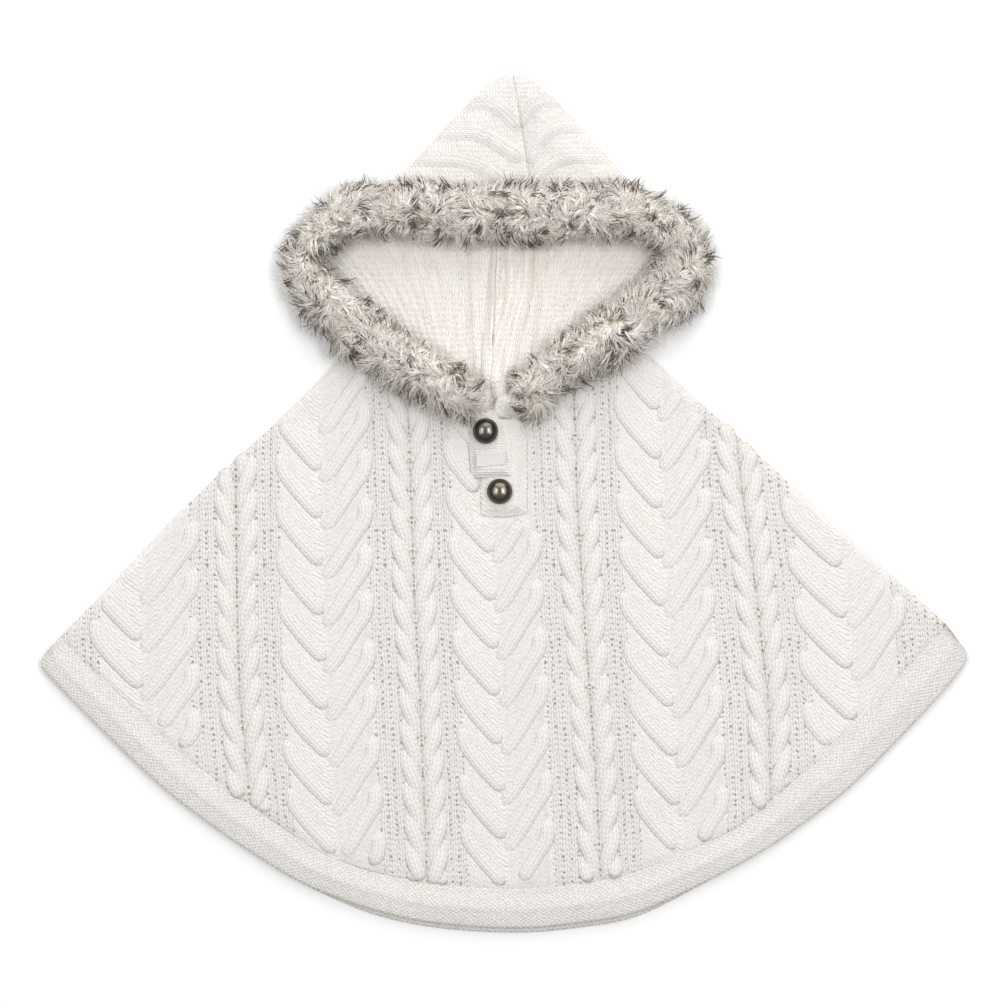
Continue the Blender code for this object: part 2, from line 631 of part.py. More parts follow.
def fur_half(name, outer, inner, bed, collection):
    """Half of the fur ring: a rounded strip, tufted along its edges, that lies on what is under it."""
    outer = smooth(outer, FUR_STATIONS)
    inner = smooth(inner, FUR_STATIONS)
    sections = []
    for k, (far, near) in enumerate(zip(outer, inner)):
        way = (far - near) / np.linalg.norm(far - near)
        taper = math.sqrt(min(1.0, (FUR_STATIONS - k) / FUR_TAPER_STATIONS))
        if k % 2 == 0:
            tuft = FUR_TUFT * (0.6 + 0.4 * math.sin(FUR_TUFT_WAVE * k))
            far = far + way * tuft
            near = near - way * FUR_INNER_TUFT * tuft
        below = []
        for share in FUR_BED_SHARES:
            x, y = near + (far - near) * share
            on = bed(x, y, FUR_BED_REACH)
            below.append((x, y, FUR_OVERHANG_Z if on is None else on + FUR_GAP))
        floor = np.interp(FUR_TOP_SHARES, FUR_BED_SHARES[::-1], [z for _, _, z in below[::-1]])
        above = []
        for share, base in zip(FUR_TOP_SHARES, floor):
            x, y = near + (far - near) * share
            dome = math.sin(math.pi * share) ** 0.6
            wave, swell = (along * k + over * share for along, over in FUR_LUMP_WAVES)
            lump = FUR_LUMP * dome * math.sin(wave) * math.cos(swell)
            z = base + FUR_EDGE_HEIGHT + (FUR_HEIGHT - FUR_EDGE_HEIGHT) * dome * taper + lump
            above.append((x, y, z))
        sections.append(above + below)
    return add(name, loft(sections), FROSTED_FUR, collection)


def placket_piece(strip, bed, collection):
    """A narrow strip of cross ribs, or a plain one, on one flat underside over what it lies on."""
    upper, lower = strip.upper, strip.lower
    left, right = upper[0, 0], upper[-1, 0]
    count = max(2, round((right - left) / PLACKET_COLUMN_STEP))
    shares = np.linspace(0, 1, count + 1)
    low, high = lower[:, 1].min(), upper[:, 1].max()
    rows = np.arange(low, high, PLACKET_RIB_PITCH / 2)
    datum = (upper[0, 1] + lower[0, 1]) / 2
    columns = []
    for s in shares:
        lean = strip.leans[0] + (strip.leans[1] - strip.leans[0]) * s
        columns.append(Column(left + (right - left) * s - lean * datum, lean, 0.0, rows))
    upper_line, lower_line = edge(upper), edge(lower)
    spots = [(x, y) for x in np.linspace(left, right, 9) for y in np.linspace(low, high, 15)]
    inside = [(x, y) for x, y in spots if lower_line(x) < y < upper_line(x)]
    underside = max(bed(x, y, PLACKET_COLUMN_STEP) for x, y in inside) + SEAM_GAP

    def top(x, y):
        rib = strip.ribs * math.cos(2 * math.pi * (y - low) / PLACKET_RIB_PITCH)
        return underside + strip.wall + rib

    mesh = wall(columns, upper_line, lower_line, top, underside)
    return add(strip.name, mesh, strip.finish, collection)


def button(spec, bed, collection):
    """A turned button: a dome on a thin rim."""
    angles = np.linspace(0, math.pi / 2, 9)
    profile = [(DOME_RADIUS * math.sin(a), BUTTON_RIM_HEIGHT + DOME_HEIGHT * math.cos(a)) for a in angles]
    profile += [
        (BUTTON_RADIUS - BUTTON_BEVEL, BUTTON_RIM_HEIGHT),
        (BUTTON_RADIUS, BUTTON_RIM_HEIGHT - BUTTON_BEVEL),
        (BUTTON_RADIUS - BUTTON_UNDERCUT, 0.0),
        (0.0, 0.0),
    ]
    data = bpy.data.meshes.new(spec.name)
    points = [(radius, 0.0, height) for radius, height in profile]
    data.from_pydata(points, [(k, k + 1) for k in range(len(points) - 1)], [])
    thing = bpy.data.objects.new(spec.name, data)
    turn = thing.modifiers.new("turn", "SCREW")
    turn.steps = turn.render_steps = BUTTON_STEPS
    turn.use_merge_vertices = True
    turn.merge_threshold = 0.00001
    turn.use_smooth_shade = True
    data.materials.append(material(spec.name + "_finish", GUNMETAL))
    thing.location = (spec.x, spec.y, bed(spec.x, spec.y, BUTTON_RADIUS) + SEAM_GAP)
    collection.objects.link(thing)
    return thing


def build():
    clear_scene()
    collection = bpy.data.collections.new("hooded_cape")
    bpy.context.scene.collection.children.link(collection)
    cutters = bpy.data.collections.new("hooded_cape_joins")
    bpy.context.scene.collection.children.link(cutters)

    fur_outline = np.vstack([smooth(FUR_LEFT_OUTER, 60), smooth(FUR_RIGHT_OUTER, 60)[::-1]])
    back = body_back(collection)
    front = body_front(collection, fur_outline)
    hem_band("hem_band_back", 0.0, BACK_WALL - HEM_RIDGE, BACK_HEM_LONGER, collection)
    hem_band("hem_band_front", FRONT_UNDERSIDE, HEM_THICKNESS, 0.0, collection)
    front_edge = body_edges(edge(FRONT_NECK), FRONT_NECK[0], FRONT_NECK[-1])[0]
    hoods = [hood_half(name, side, front_edge, collection) for name, side in HOOD_HALVES]
    for thing in list(collection.objects):
        if thing.hide_render:
            collection.objects.unlink(thing)
            cutters.objects.link(thing)

    lying = [back, front, *hoods]
    under = placket_piece(UNDER_STRIP, bed_under(lying), collection)
    lying.append(under)
    over = placket_piece(OVER_STRIP, bed_under(lying), collection)
    lying.append(over)
    placket_piece(LABEL_STRIP, bed_under(lying), collection)
    carriers = {thing.name: thing for thing in (under, over)}
    for spec in BUTTONS:
        button(spec, bed_under([carriers[spec.lies_on]]), collection)
    bed = bed_under(lying)
    fur_half("fur_trim_left", FUR_LEFT_OUTER, FUR_LEFT_INNER, bed, collection)
    fur_half("fur_trim_right", FUR_RIGHT_OUTER, FUR_RIGHT_INNER, bed, collection)


build()
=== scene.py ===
"""A child's hooded cape in cable knit, laid flat on its back on a white surface.

Lengths are in metres. X runs across the cape, Y from the hem up to the hood's peak, Z up.
"""

import bpy
import numpy as np
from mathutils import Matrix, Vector


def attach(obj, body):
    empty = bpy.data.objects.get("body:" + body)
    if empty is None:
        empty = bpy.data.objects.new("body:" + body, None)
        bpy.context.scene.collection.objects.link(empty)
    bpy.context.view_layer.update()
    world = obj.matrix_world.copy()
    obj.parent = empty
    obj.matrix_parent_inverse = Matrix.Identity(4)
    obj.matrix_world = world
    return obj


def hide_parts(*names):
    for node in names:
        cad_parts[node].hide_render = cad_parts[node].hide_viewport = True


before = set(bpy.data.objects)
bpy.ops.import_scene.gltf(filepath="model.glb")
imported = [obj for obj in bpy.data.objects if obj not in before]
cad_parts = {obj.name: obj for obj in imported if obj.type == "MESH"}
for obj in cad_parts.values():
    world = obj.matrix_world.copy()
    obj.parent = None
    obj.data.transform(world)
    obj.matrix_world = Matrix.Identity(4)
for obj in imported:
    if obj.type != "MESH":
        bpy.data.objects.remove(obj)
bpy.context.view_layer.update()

# Studio
# A plain pale floor in soft light that comes from above and from the top of the picture, seen
# from straight overhead.

MM = 0.001
PIXEL = 0.8 * MM  # on the cloth, in a picture of 1008 x 1008
PICTURE = 1008
VIEW_HEIGHT = 6.0 * MM  # of the plane in which a pixel has that size
PICTURE_CENTRE = (-1.0 * PIXEL, 0.5 * PIXEL)
SOFTBOXES = (
    # name, place, size along Y and across, watts
    ("softbox_left", (-1.45, 0.2, 2.65), (2.1, 0.9), 28.0),
    ("softbox_right", (1.4, 0.25, 2.65), (2.1, 0.9), 35.0),
    ("softbox_top", (0.4, 3.1, 1.9), (4.6, 2.4), 84.0),
)
SKY = 0.30
FLOOR_REACH = 4.0
FLOOR_Z = -0.0003
scene = bpy.context.scene
scene.view_settings.view_transform = "Standard"
scene.view_settings.look = "None"

lens = bpy.data.cameras.new("camera")
lens.lens, lens.sensor_width = 100.0, 36.0
lens.clip_start, lens.clip_end = 0.1, 30.0
camera = bpy.data.objects.new("camera", lens)
camera.location = (*PICTURE_CENTRE, VIEW_HEIGHT + PICTURE * PIXEL * lens.lens / lens.sensor_width)
scene.collection.objects.link(camera)
scene.camera = camera

for name, place, size, watts in SOFTBOXES:
    lamp = bpy.data.lights.new(name, "AREA")
    lamp.shape, lamp.energy = "RECTANGLE", watts
    lamp.size, lamp.size_y = size
    softbox = bpy.data.objects.new(name, lamp)
    softbox.location = place
    softbox.rotation_euler = (-Vector(place)).to_track_quat("-Z", "Y").to_euler()  # at the origin
    scene.collection.objects.link(softbox)

sky = bpy.data.worlds.new("sky")
scene.world = sky
sky.use_nodes = True
sky.node_tree.nodes["Background"].inputs["Color"].default_value = (1.0, 1.0, 1.0, 1.0)
sky.node_tree.nodes["Background"].inputs["Strength"].default_value = SKY


class Signal:
    """An output of a node. Sums, differences, products and quotients of signals are Math nodes."""

    def __init__(self, wiring, socket):
        self.wiring, self.socket = wiring, socket

    def __add__(self, other):
        return self.wiring.math("ADD", self, other)

    def __sub__(self, other):
        return self.wiring.math("SUBTRACT", self, other)

    def __mul__(self, other):
        return self.wiring.math("MULTIPLY", self, other)

    def __truediv__(self, other):
        return self.wiring.math("DIVIDE", self, other)

    __radd__, __rmul__ = __add__, __mul__


class Wiring:
    """Adds nodes to one tree. Inputs are constants or signals, in the node's own order."""

    def __init__(self, tree):
        self.tree = tree

    def feed(self, value, socket):
        """Links a signal to a socket, or sets the socket to a constant."""
        if isinstance(value, Signal):
            self.tree.links.new(value.socket, socket)
        elif value is not None:
            socket.default_value = value

    def add(self, kind, *inputs, output=0, **settings):
        """A new node, as the signal from one of its outputs."""
        made = self.tree.nodes.new("ShaderNode" + kind)
        for key, value in settings.items():
            setattr(made, key, value)
        for socket, value in zip(made.inputs, inputs):
            self.feed(value, socket)
        return Signal(self, made.outputs[output])

    def math(self, operation, *inputs):
        return self.add("Math", *inputs, operation=operation)

    def sine(self, turns):
        return self.math("SINE", turns * (2 * np.pi))

    def cosine(self, turns):
        return self.math("COSINE", turns * (2 * np.pi))

    def fade(self, value, low, high, to_low=0.0, to_high=1.0):
        """to_low where the value is low, to_high where it is high, and an even S between."""
        return self.add("MapRange", value, low, high, to_low, to_high, interpolation_type="SMOOTHSTEP")

    def mix(self, share, first, second):
        """Colours mixed, as RGBA. Inputs 1 to 5 of the node are for numbers and vectors."""
        return self.add("Mix", share, *[None] * 5, first, second, output=2, data_type="RGBA")

    def noise(self, place, scale, detail, roughness):
        return self.add("TexNoise", place, None, scale, detail, roughness)

    def object_place(self):
        return self.add("TexCoord", output="Object")

    def bump(self, distance, height, shader):
        made = self.add("Bump", 1.0, distance)
        self.feed(height, made.socket.node.inputs["Height"])
        self.feed(made, shader.inputs["Normal"])

    def vector(self, operation, *inputs):
        return self.add("VectorMath", *inputs, operation=operation)

    def join(self, u, v):
        return self.add("CombineXYZ", u, v, 0.0)

    def split(self, vector):
        parts = self.add("SeparateXYZ", vector).socket.node.outputs
        return [Signal(self, part) for part in parts[:2]]

    def uv(self, name):
        return self.add("UVMap", uv_map=name)

    def wandering(self, place, scale, detail, reach):
        """A place moved by noise, by up to half the reach, for stitches that aren't quite in line."""
        noise = self.add("TexNoise", place, None, scale, detail, 0.5, output="Color")
        centred = self.vector("SUBTRACT", noise, (0.5, 0.5, 0.5))
        return self.vector("MULTIPLY_ADD", centred, reach, place)

    def group(self, tree, *inputs):
        """A node group, as the signals from its outputs."""
        made = self.tree.nodes.new("ShaderNodeGroup")
        made.node_tree = tree
        for socket, value in zip(made.inputs, inputs):
            self.feed(value, socket)
        return [Signal(self, socket) for socket in made.outputs]

    def give(self, *values):
        """Feeds a node group's outputs, and gives back its tree."""
        given = self.tree.nodes.new("NodeGroupOutput").inputs
        for value, socket in zip(values, given):
            self.feed(value, socket)
        return self.tree


def new_material(name, roughness, **sockets):
    """A Principled material with constants on its own sockets, as (material, wiring, shader)."""
    made = bpy.data.materials.new(name)
    made.use_nodes = True
    shader = made.node_tree.nodes["Principled BSDF"]
    shader.inputs["Roughness"].default_value = roughness
    for label, value in sockets.items():
        shader.inputs[label.replace("_", " ")].default_value = value
    return made, Wiring(made.node_tree), shader


def mesh_piece(name, points, faces, maps=()):
    """An object from arrays: points, faces as arrays of equal-cornered rows, and UV maps by point."""
    mesh = bpy.data.meshes.new(name)
    corners = np.concatenate([np.asarray(rows).ravel() for rows in faces]).astype(np.int32)
    sizes = np.concatenate([np.full(len(rows), len(rows[0])) for rows in faces])
    mesh.vertices.add(len(points))
    mesh.vertices.foreach_set("co", np.asarray(points, np.float32).ravel())
    mesh.loops.add(len(corners))
    mesh.loops.foreach_set("vertex_index", corners)
    mesh.polygons.add(len(sizes))
    mesh.polygons.foreach_set("loop_start", (np.cumsum(sizes) - sizes).astype(np.int32))
    for label, values in maps:
        layer = mesh.uv_layers.new(name=label)
        layer.data.foreach_set("uv", np.asarray(values, np.float32)[corners].ravel())
    mesh.update(calc_edges=True)
    mesh.validate()
    mesh.shade_smooth()
    made = bpy.data.objects.new(name, mesh)
    scene.collection.objects.link(made)
    return made


corners = [(x * FLOOR_REACH, y * FLOOR_REACH, FLOOR_Z) for x, y in ((-1, -1), (1, -1), (1, 1), (-1, 1))]
floor = mesh_piece("floor", corners, [[[0, 1, 2, 3]]])
paper, _, shader = new_material("white_paper", 0.9, Specular_IOR_Level=0.2)
shader.inputs["Base Color"].default_value = (0.985, 0.985, 0.985, 1.0)
floor.data.materials.append(paper)

# Back panel
# Cream wool-blend cable knit, cut as a quarter circle with straight side seams. It lies under the
# front panel, sewn to it along the sides and to the hood round the neck.

HEM = MM * np.array([
    # seam x, seam y, edge x, edge y
    (-356, -106, -367.2, -118),
    (-349.6, -114, -371.2, -127.6),
    (-338.4, -126, -360.8, -141.2),
    (-294.4, -168.4, -314.4, -188.4),
    (-242.4, -214, -260, -238),
    (-180.8, -257.2, -196, -282.8),
    (-140, -283, -148, -309.2),
    (-72, -302.8, -76, -331.6),
    (0, -308.4, 0, -338.8),
    (56, -305.2, 60, -334.8),
    (108, -294, 114.4, -322.8),
    (183.2, -260.4, 195.2, -283.6),
    (230.4, -223.6, 248, -248.4),
    (264, -194, 285.6, -217.2),
    (316, -138.8, 340, -161.2),
    (344, -108.4, 365.6, -130.8),
    (351.2, -100.4, 369.6, -119.6),
    (352.8, -95.6, 362.4, -108.4),
])
FRONT_NECK = MM * np.array([
    (-106.4, 140.4), (-68, 106.8), (-28, 83.6), (-7.2, 78), (20, 85.2), (52, 106),
    (93.6, 138),
])
BACK_SHOULDERS = MM * np.array([(-122.4, 124.4), (108.8, 124.4)])
HOOD_NECK = MM * np.array([
    (-164, 184), (-149.6, 157.2), (-120, 125.6), (-68, 96.4), (-7.2, 64.4), (52, 93.2),
    (108.8, 125.2), (136, 155.6), (148, 188),
])
SIDE_BOW, SIDE_BOW_X, SIDE_BOW_SPREAD = 5.2 * MM, -253.6 * MM, 55.0 * MM  # of the left side seam
SEAM_CLEARANCE = 0.5 * MM
CORNER_INSET = 2.0 * MM
BACK_WALL = 3.0 * MM
CREAM_YARN = (0.86, 0.82, 0.79, 1.0)
CHEVRON_YARN_PAINTED_LIGHTER = (0.88, 0.84, 0.808, 1.0)  # in the chevrons: painted light, paler to offset the shade of their rows and bumps
# Painted shade, mixed into the yarn's colour in the stitches' grooves
CREAM_GROOVE_SHADE = (0.68, 0.63, 0.58, 1.0)
EYELET_SHADE = (0.43, 0.37, 0.29, 1.0)
GAP_SHADE = (0.30, 0.25, 0.18, 1.0)  # between the two ropes of a pair
SHADOWED_YARN = (0.55, 0.50, 0.44, 1.0)
STITCH = (4.25, 4.4)  # width and height of one stitch, in mm


def pairs(first, second):
    """Two arrays of one grid as rows of two values."""
    return np.stack(np.broadcast_arrays(first, second), -1).reshape(-1, 2)


def bell(off, width):
    """1 where off is 0, falling away on both sides: exp(-(off / width)^2)."""
    return np.exp(-((off / width) ** 2))


def run_along(points):
    """How far along a path each of its points is."""
    return np.concatenate([[0], np.cumsum(np.linalg.norm(np.diff(points, axis=0), axis=1))])


def smooth(points, count):
    """Points spaced evenly along the Catmull-Rom curve through the given ones."""
    ends = [2 * points[:1] - points[1:2], points, 2 * points[-1:] - points[-2:-1]]
    guide = np.vstack(ends)
    a, b, c, d = (guide[k : len(guide) - 3 + k, None] for k in range(4))
    t = np.linspace(0, 1, 16, endpoint=False)[None, :, None]
    bend = 2 * b + (c - a) * t + (2 * a - 5 * b + 4 * c - d) * t**2 + (3 * b - a - 3 * c + d) * t**3
    dense = np.vstack([bend.reshape(-1, points.shape[1]) / 2, points[-1:]])
    run = run_along(dense)
    at = np.linspace(0, run[-1], count)
    return np.column_stack([np.interp(at, run, line) for line in dense.T])


def edge(points, shift=0.0):
    """The curve through the points, moved along Y, as a function of x."""
    line = smooth(points, 12 * len(points))
    return lambda x: np.interp(x, line[:, 0], line[:, 1]) + shift


def ramp(value, width):
    """0 below zero, 1 above the width, and an even S between them."""
    share = np.clip(value / width, 0, 1)
    return share * share * (3 - 2 * share)


def body_edges(neck, left_shoulder, right_shoulder):
    """A panel's upper line, up one side seam, round the neck and down the other, and its hem seam."""
    seam = smooth(HEM, 8 * len(HEM))[:, :2]
    sides = np.vstack([HEM[:1, :2], [left_shoulder], [right_shoulder], HEM[-1:, :2]])
    steepness = np.diff(sides[:, 1]) / np.diff(sides[:, 0])

    def upper(x):
        bow = SIDE_BOW * bell(x - SIDE_BOW_X, SIDE_BOW_SPREAD)
        up = sides[0, 1] + steepness[0] * (x - sides[0, 0]) + bow
        down = sides[3, 1] + steepness[2] * (x - sides[3, 0])
        return np.minimum(np.minimum(up, down), neck(x))

    def lower(x):
        return np.interp(x, seam[:, 0], seam[:, 1]) + SEAM_CLEARANCE

    return upper, lower


def panel_grid(upper, lower, left, right, across, up):
    """Even columns from left to right, each with even rows from the lower line to the upper one."""
    x = np.linspace(left, right, across)[None, :]
    share = np.linspace(0, 1, up)[:, None]
    y = lower(x) + (upper(x) - lower(x)) * share
    return np.broadcast_to(x, y.shape), y


def shell_arrays(x, y, top, under, maps):
    """A closed sheet as (points, faces, maps): a grid of points at height top, over a flat face at a
    height, or over a second grid."""
    rows, columns = x.shape
    spot = np.arange(rows * columns).reshape(rows, columns)
    quads = np.stack([spot[:-1, :-1], spot[:-1, 1:], spot[1:, 1:], spot[1:, :-1]], -1).reshape(-1, 4)
    rim = np.concatenate([spot[0, :-1], spot[:-1, -1], spot[-1, :0:-1], spot[:0:-1, 0]])
    points = np.stack([x, y, top], -1).reshape(-1, 3)
    if np.ndim(under):
        low = np.stack([x, y, under], -1).reshape(-1, 3)
        rim_below = rim + len(points)
        underside = quads[:, ::-1] + len(points)
        every = np.arange(len(points))
    else:
        low = points[rim] * (1, 1, 0) + (0, 0, under)
        rim_below = np.arange(len(rim)) + len(points)
        underside = rim_below[None, ::-1]
        every = rim
    wall = np.stack([np.roll(rim, -1), rim, rim_below, np.roll(rim_below, -1)], -1)
    maps = [(label, np.vstack([values, values[every]])) for label, values in maps]
    return np.vstack([points, low]), [quads, wall, underside], maps


def shell(name, x, y, top, under, maps):
    return mesh_piece(name, *shell_arrays(x, y, top, under, maps))


def shells(name, *sheets):
    """One object out of several closed sheets that have the same maps."""
    starts = np.cumsum([0] + [len(points) for points, _, _ in sheets])
    faces = [rows + start for (_, group, _), start in zip(sheets, starts) for rows in group]
    layers = zip(*[maps for _, _, maps in sheets])
    maps = [(layer[0][0], np.vstack([values for _, values in layer])) for layer in layers]
    return mesh_piece(name, np.vstack([points for points, _, _ in sheets]), faces, maps)


def dress(piece, material, node, slot):
    """Gives a piece its material, fixes it to the cape and has it stand in for a plain solid."""
    piece.data.materials.append(material)
    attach(piece, "root")
    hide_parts(node)


def new_group(name, inputs, outputs):
    """An empty node group with named sockets, as (wiring, signal from each input)."""
    tree = bpy.data.node_groups.new(name, "ShaderNodeTree")
    for label, kind, default in inputs:
        socket = tree.interface.new_socket(label, in_out="INPUT", socket_type="NodeSocket" + kind)
        socket.default_value = default
    for label, kind in outputs:
        tree.interface.new_socket(label, in_out="OUTPUT", socket_type="NodeSocket" + kind)
    w = Wiring(tree)
    sockets = tree.nodes.new("NodeGroupInput").outputs
    return w, *[Signal(w, socket) for socket in sockets[: len(inputs)]]


def stockinette_group():
    """Columns of V stitches. A leg's height is a flattened half sine across it times a cosine along the
    yarn, whose phase falls towards the column's middle, so that two legs make a V."""
    w, stitches, unevenness = new_group(
        "stockinette",
        [("Stitches", "Vector", (0.0, 0.0, 0.0)), ("Unevenness", "Float", 0.16)],
        [("Height", "Float"), ("Groove", "Float")],
    )
    u, v = w.split(w.wandering(stitches, 0.33, 2.0, 4.0 * unevenness))
    from_edge = w.math("PINGPONG", u, 0.5)
    leg = w.math("POWER", w.sine(from_edge), 0.6)
    yarn = 0.3 * w.cosine(v - 1.5 * from_edge) + 0.7
    height = leg * yarn
    return w.give(height, w.fade(height, 0.0, 0.5, 1.0, 0.0))


def eyelet_group():
    """Rows of small dark holes between the cables. A hole is the middle of a cell whose row is shifted
    by half a cell from the next, and a random number for each cell makes some of them close up."""
    w, cells, open_share = new_group(
        "eyelets",
        [("Cells", "Vector", (0.0, 0.0, 0.0)), ("Open", "Float", 0.6)],
        [("Hole", "Float"), ("Height", "Float")],
    )
    u, v = w.split(w.wandering(cells, 0.7, 1.0, (0.9, 1.1, 0.0)))
    column = w.math("FLOOR", u)
    shifted = w.math("FRACT", 0.5 * column) + v
    across = 1.5 * (w.math("FRACT", u) - 0.5)
    along = w.math("FRACT", shifted) - 0.5
    chance = w.add("TexWhiteNoise", w.join(column, w.math("FLOOR", shifted)), noise_dimensions="2D")
    far = w.math("SQRT", across * across + along * along)
    size = w.fade(chance, 0.1, 1.0, 0.3, 1.0) * open_share
    hole = w.fade(far - 0.22 * size, -0.10, 0.08, 1.0, 0.0) * w.fade(size, 0.0, 0.3)
    return w.give(hole, w.fade(far, 0.1, 0.5))


def fuzz_group():
    """Yarn fuzz and soft unevenness: fine noise for the height and broad noise for the tone, both on
    the object's own coordinates."""
    w, fineness = new_group(
        "fuzz", [("Fineness", "Float", 900.0)], [("Height", "Float"), ("Tone", "Float")]
    )
    place = w.object_place()
    return w.give(w.noise(place, fineness, 3.0, 0.6), w.fade(w.noise(place, 26.0, 2.0, 0.5), 0.3, 0.7))


STOCKINETTE = stockinette_group()
EYELETS = eyelet_group()
FUZZ = fuzz_group()


def new_cloth(name):
    return new_material(name, 0.95, Specular_IOR_Level=0.15, Sheen_Weight=0.2)


def finish_cloth(w, shader, colour, height, distance):
    """Adds fuzz to a cloth's height and a soft unevenness to its colour, and feeds the shader."""
    fuzz, tone = w.group(FUZZ, 900.0)
    w.feed(w.mix(0.05 * tone, colour, SHADOWED_YARN), shader.inputs["Base Color"])
    w.bump(distance, 0.35 * fuzz + height, shader)


def panel_knit_material():
    """The panels' ground: V stitches, the chevrons' rows and the eyelets, each with a height and a
    groove. UV "knit" holds the lane, which is even on a chevron and odd on a rope, and y in mm. UV
    "arms" holds how far above the arms a point is, and how far out, in mm."""
    made, w, shader = new_cloth("cream_knit")
    lane, y = w.split(w.uv("knit"))
    above, out = w.split(w.uv("arms"))
    off = w.math("PINGPONG", lane, 1.0)  # 0 on a chevron's middle, 1 on a rope's
    off_mm = 70.0 * off
    in_chevron = w.fade(off, 0.485, 0.515, 1.0, 0.0)
    # V stitches in upright columns between the chevrons
    upright = w.join(off_mm / STITCH[0], y / STITCH[1])
    column, column_groove = w.group(STOCKINETTE, upright, 0.18)
    # Rows that follow the chevrons' arms: the cosine of the height above an arm, a little wavy
    across = above * (0.656 / 2.5)
    along = (1.15 * y + out) * (0.656 / 4.0)
    row = 0.24 * w.cosine(1.9 * w.noise(upright, 0.7, 2.0, 0.5) + across + 0.10 * w.sine(along)) + 0.38
    row_groove = w.fade(row, 0.1, 0.45, 1.0, 0.0)
    # Eyelets in the ladders beside the ropes
    in_ladder = w.fade(off, 0.46, 0.52) * w.fade(off, 0.985, 0.96)
    cells = w.join(off_mm / 6.4, y / 4.5)
    hole, round_hole = w.group(EYELETS, cells, 0.85 * in_ladder + 0.1)
    # A dark, broken line of gaps between the two ropes of a pair
    along_gap = w.join(lane, 0.11 * y)
    broken = w.fade(w.noise(along_gap, 3.0, 2.0, 0.6), 0.42, 0.6, 0.3, 1.0)
    shift = w.noise(along_gap, 1.3, 3.0, 0.7)
    links = w.fade(w.math("SINE", 16.0 * shift + y * (2 * np.pi / 4.7)), -0.5, 0.5, 0.3, 1.0)
    beside = w.math("MINIMUM", off + (0.05 * shift - 0.025), off)
    gap = w.fade(beside, 0.977, 0.99) * broken * links
    # The groove masks carry painted shade: the stitches' low parts are darkened in the colour below
    groove = in_chevron * (row_groove - column_groove) + column_groove
    uneven = w.fade(w.noise(upright, 0.6, 2.0, 0.6), 0.3, 0.65, 0.25, 1.0)
    groove = groove * uneven * w.fade(in_chevron, 0.0, 1.0, 0.7, 0.55)
    colour = w.mix(groove, w.mix(in_chevron, CREAM_YARN, CHEVRON_YARN_PAINTED_LIGHTER), CREAM_GROOVE_SHADE)
    colour = w.mix(0.85 * hole, colour, EYELET_SHADE)
    colour = w.mix(gap, colour, GAP_SHADE)
    height = in_chevron * (row - column) + column
    finish_cloth(w, shader, colour, 0.4 * round_hole + height - 1.2 * hole, 0.00065)
    return made


PANEL_KNIT = panel_knit_material()

# The cables' centres, chevrons and ropes in turn, in pixels of the picture at six heights of it
LANE_AT_ROW = np.array([400, 500, 600, 700, 800, 900])
LANE_AT_COLUMN = np.array([
    (143, 143, 143, 144, 150, 156),
    (236, 236, 237, 240, 250, 258),
    (322, 323, 325, 328, 334, 342),
    (408, 411, 414.5, 420, 424, 428),
    (488, 492, 497, 502, 506, 510),
    (574, 577, 583, 590.5, 597, 602),
    (661, 663.5, 667, 675, 681, 687),
    (733, 743, 757, 768, 771, 774),
    (826, 836, 848, 857, 862, 866),
])
LANE_PITCH = 70.0 * MM


def x_of(column):
    return (np.asarray(column, float) - 505) * PIXEL


def y_of(row):
    return (504.5 - np.asarray(row, float)) * PIXEL


def lane_centre(lane, y):
    """X of a cable's centre at a height, straight between the measured ones."""
    return np.interp(y, y_of(LANE_AT_ROW)[::-1], x_of(LANE_AT_COLUMN[lane])[::-1])


def lane_at(x, y):
    """0 on the first cable, 1 on the second and so on, straight between them and on past the last."""
    centres = np.stack([lane_centre(lane, y) for lane in range(len(LANE_AT_COLUMN))], -1)
    steps = (np.asarray(x)[..., None] - centres[..., :-1]) / np.diff(centres, axis=-1)
    before = np.minimum(0, (x - centres[..., 0]) / LANE_PITCH)
    after = np.maximum(0, (x - centres[..., -1]) / LANE_PITCH)
    return np.clip(steps, 0, 1).sum(-1) + before + after


# For each chevron lane: Y where the left strand of one V ends, the repeat, and how wide it spreads.
# The arms' lower edges are in mm out from the lane's middle and up from that end.
CHEVRON_END = y_of([640, 614, 648, 607, 617])
CHEVRON_REPEAT = PIXEL * np.array([47.3, 47.7, 47.8, 49.5, 51.0])
CHEVRON_SPREAD = np.array([1.2, 1.03, 1.0, 1.02, 1.2])
LEFT_EDGE = MM * np.array([(0.0, -5.0), (10.5, 4.5), (21.5, 17.0), (30.0, 29.5), (36.0, 40.0)])
RIGHT_EDGE = MM * np.array([
    (0.0, -1.0), (8.0, 9.0), (16.0, 21.0), (24.0, 33.5), (30.0, 44.0), (34.0, 54.0),
])


def chevron_place(x, y):
    """The nearest chevron lane, how far out from its middle a point is, the share of its right side, and
    how far the point is above the lowest left arm and the lowest right one."""
    nearest = np.clip(np.round(lane_at(x, y) / 2), 0, 4).astype(int)
    centres = np.stack([lane_centre(lane, y) for lane in (0, 2, 4, 6, 8)], -1)
    offset = (x - np.take_along_axis(centres, nearest[..., None], -1)[..., 0]) / CHEVRON_SPREAD[nearest]
    out = np.abs(offset)
    rise = y - CHEVRON_END[nearest]
    left, right = (rise - np.interp(out, *arm.T) for arm in (LEFT_EDGE, RIGHT_EDGE))
    return nearest, out, ramp(offset + 4 * MM, 8 * MM), left, right


def knit_map(x, y):
    """UV "knit": the lane and y in mm. UV "arms": how far above the arms, and how far out, in mm."""
    _, out, share, left, right = chevron_place(x, y)
    above = left * (1 - share) + right * share
    return [
        ("knit", pairs(lane_at(x, y), y / MM)),
        ("arms", pairs(above, out) / MM),
    ]


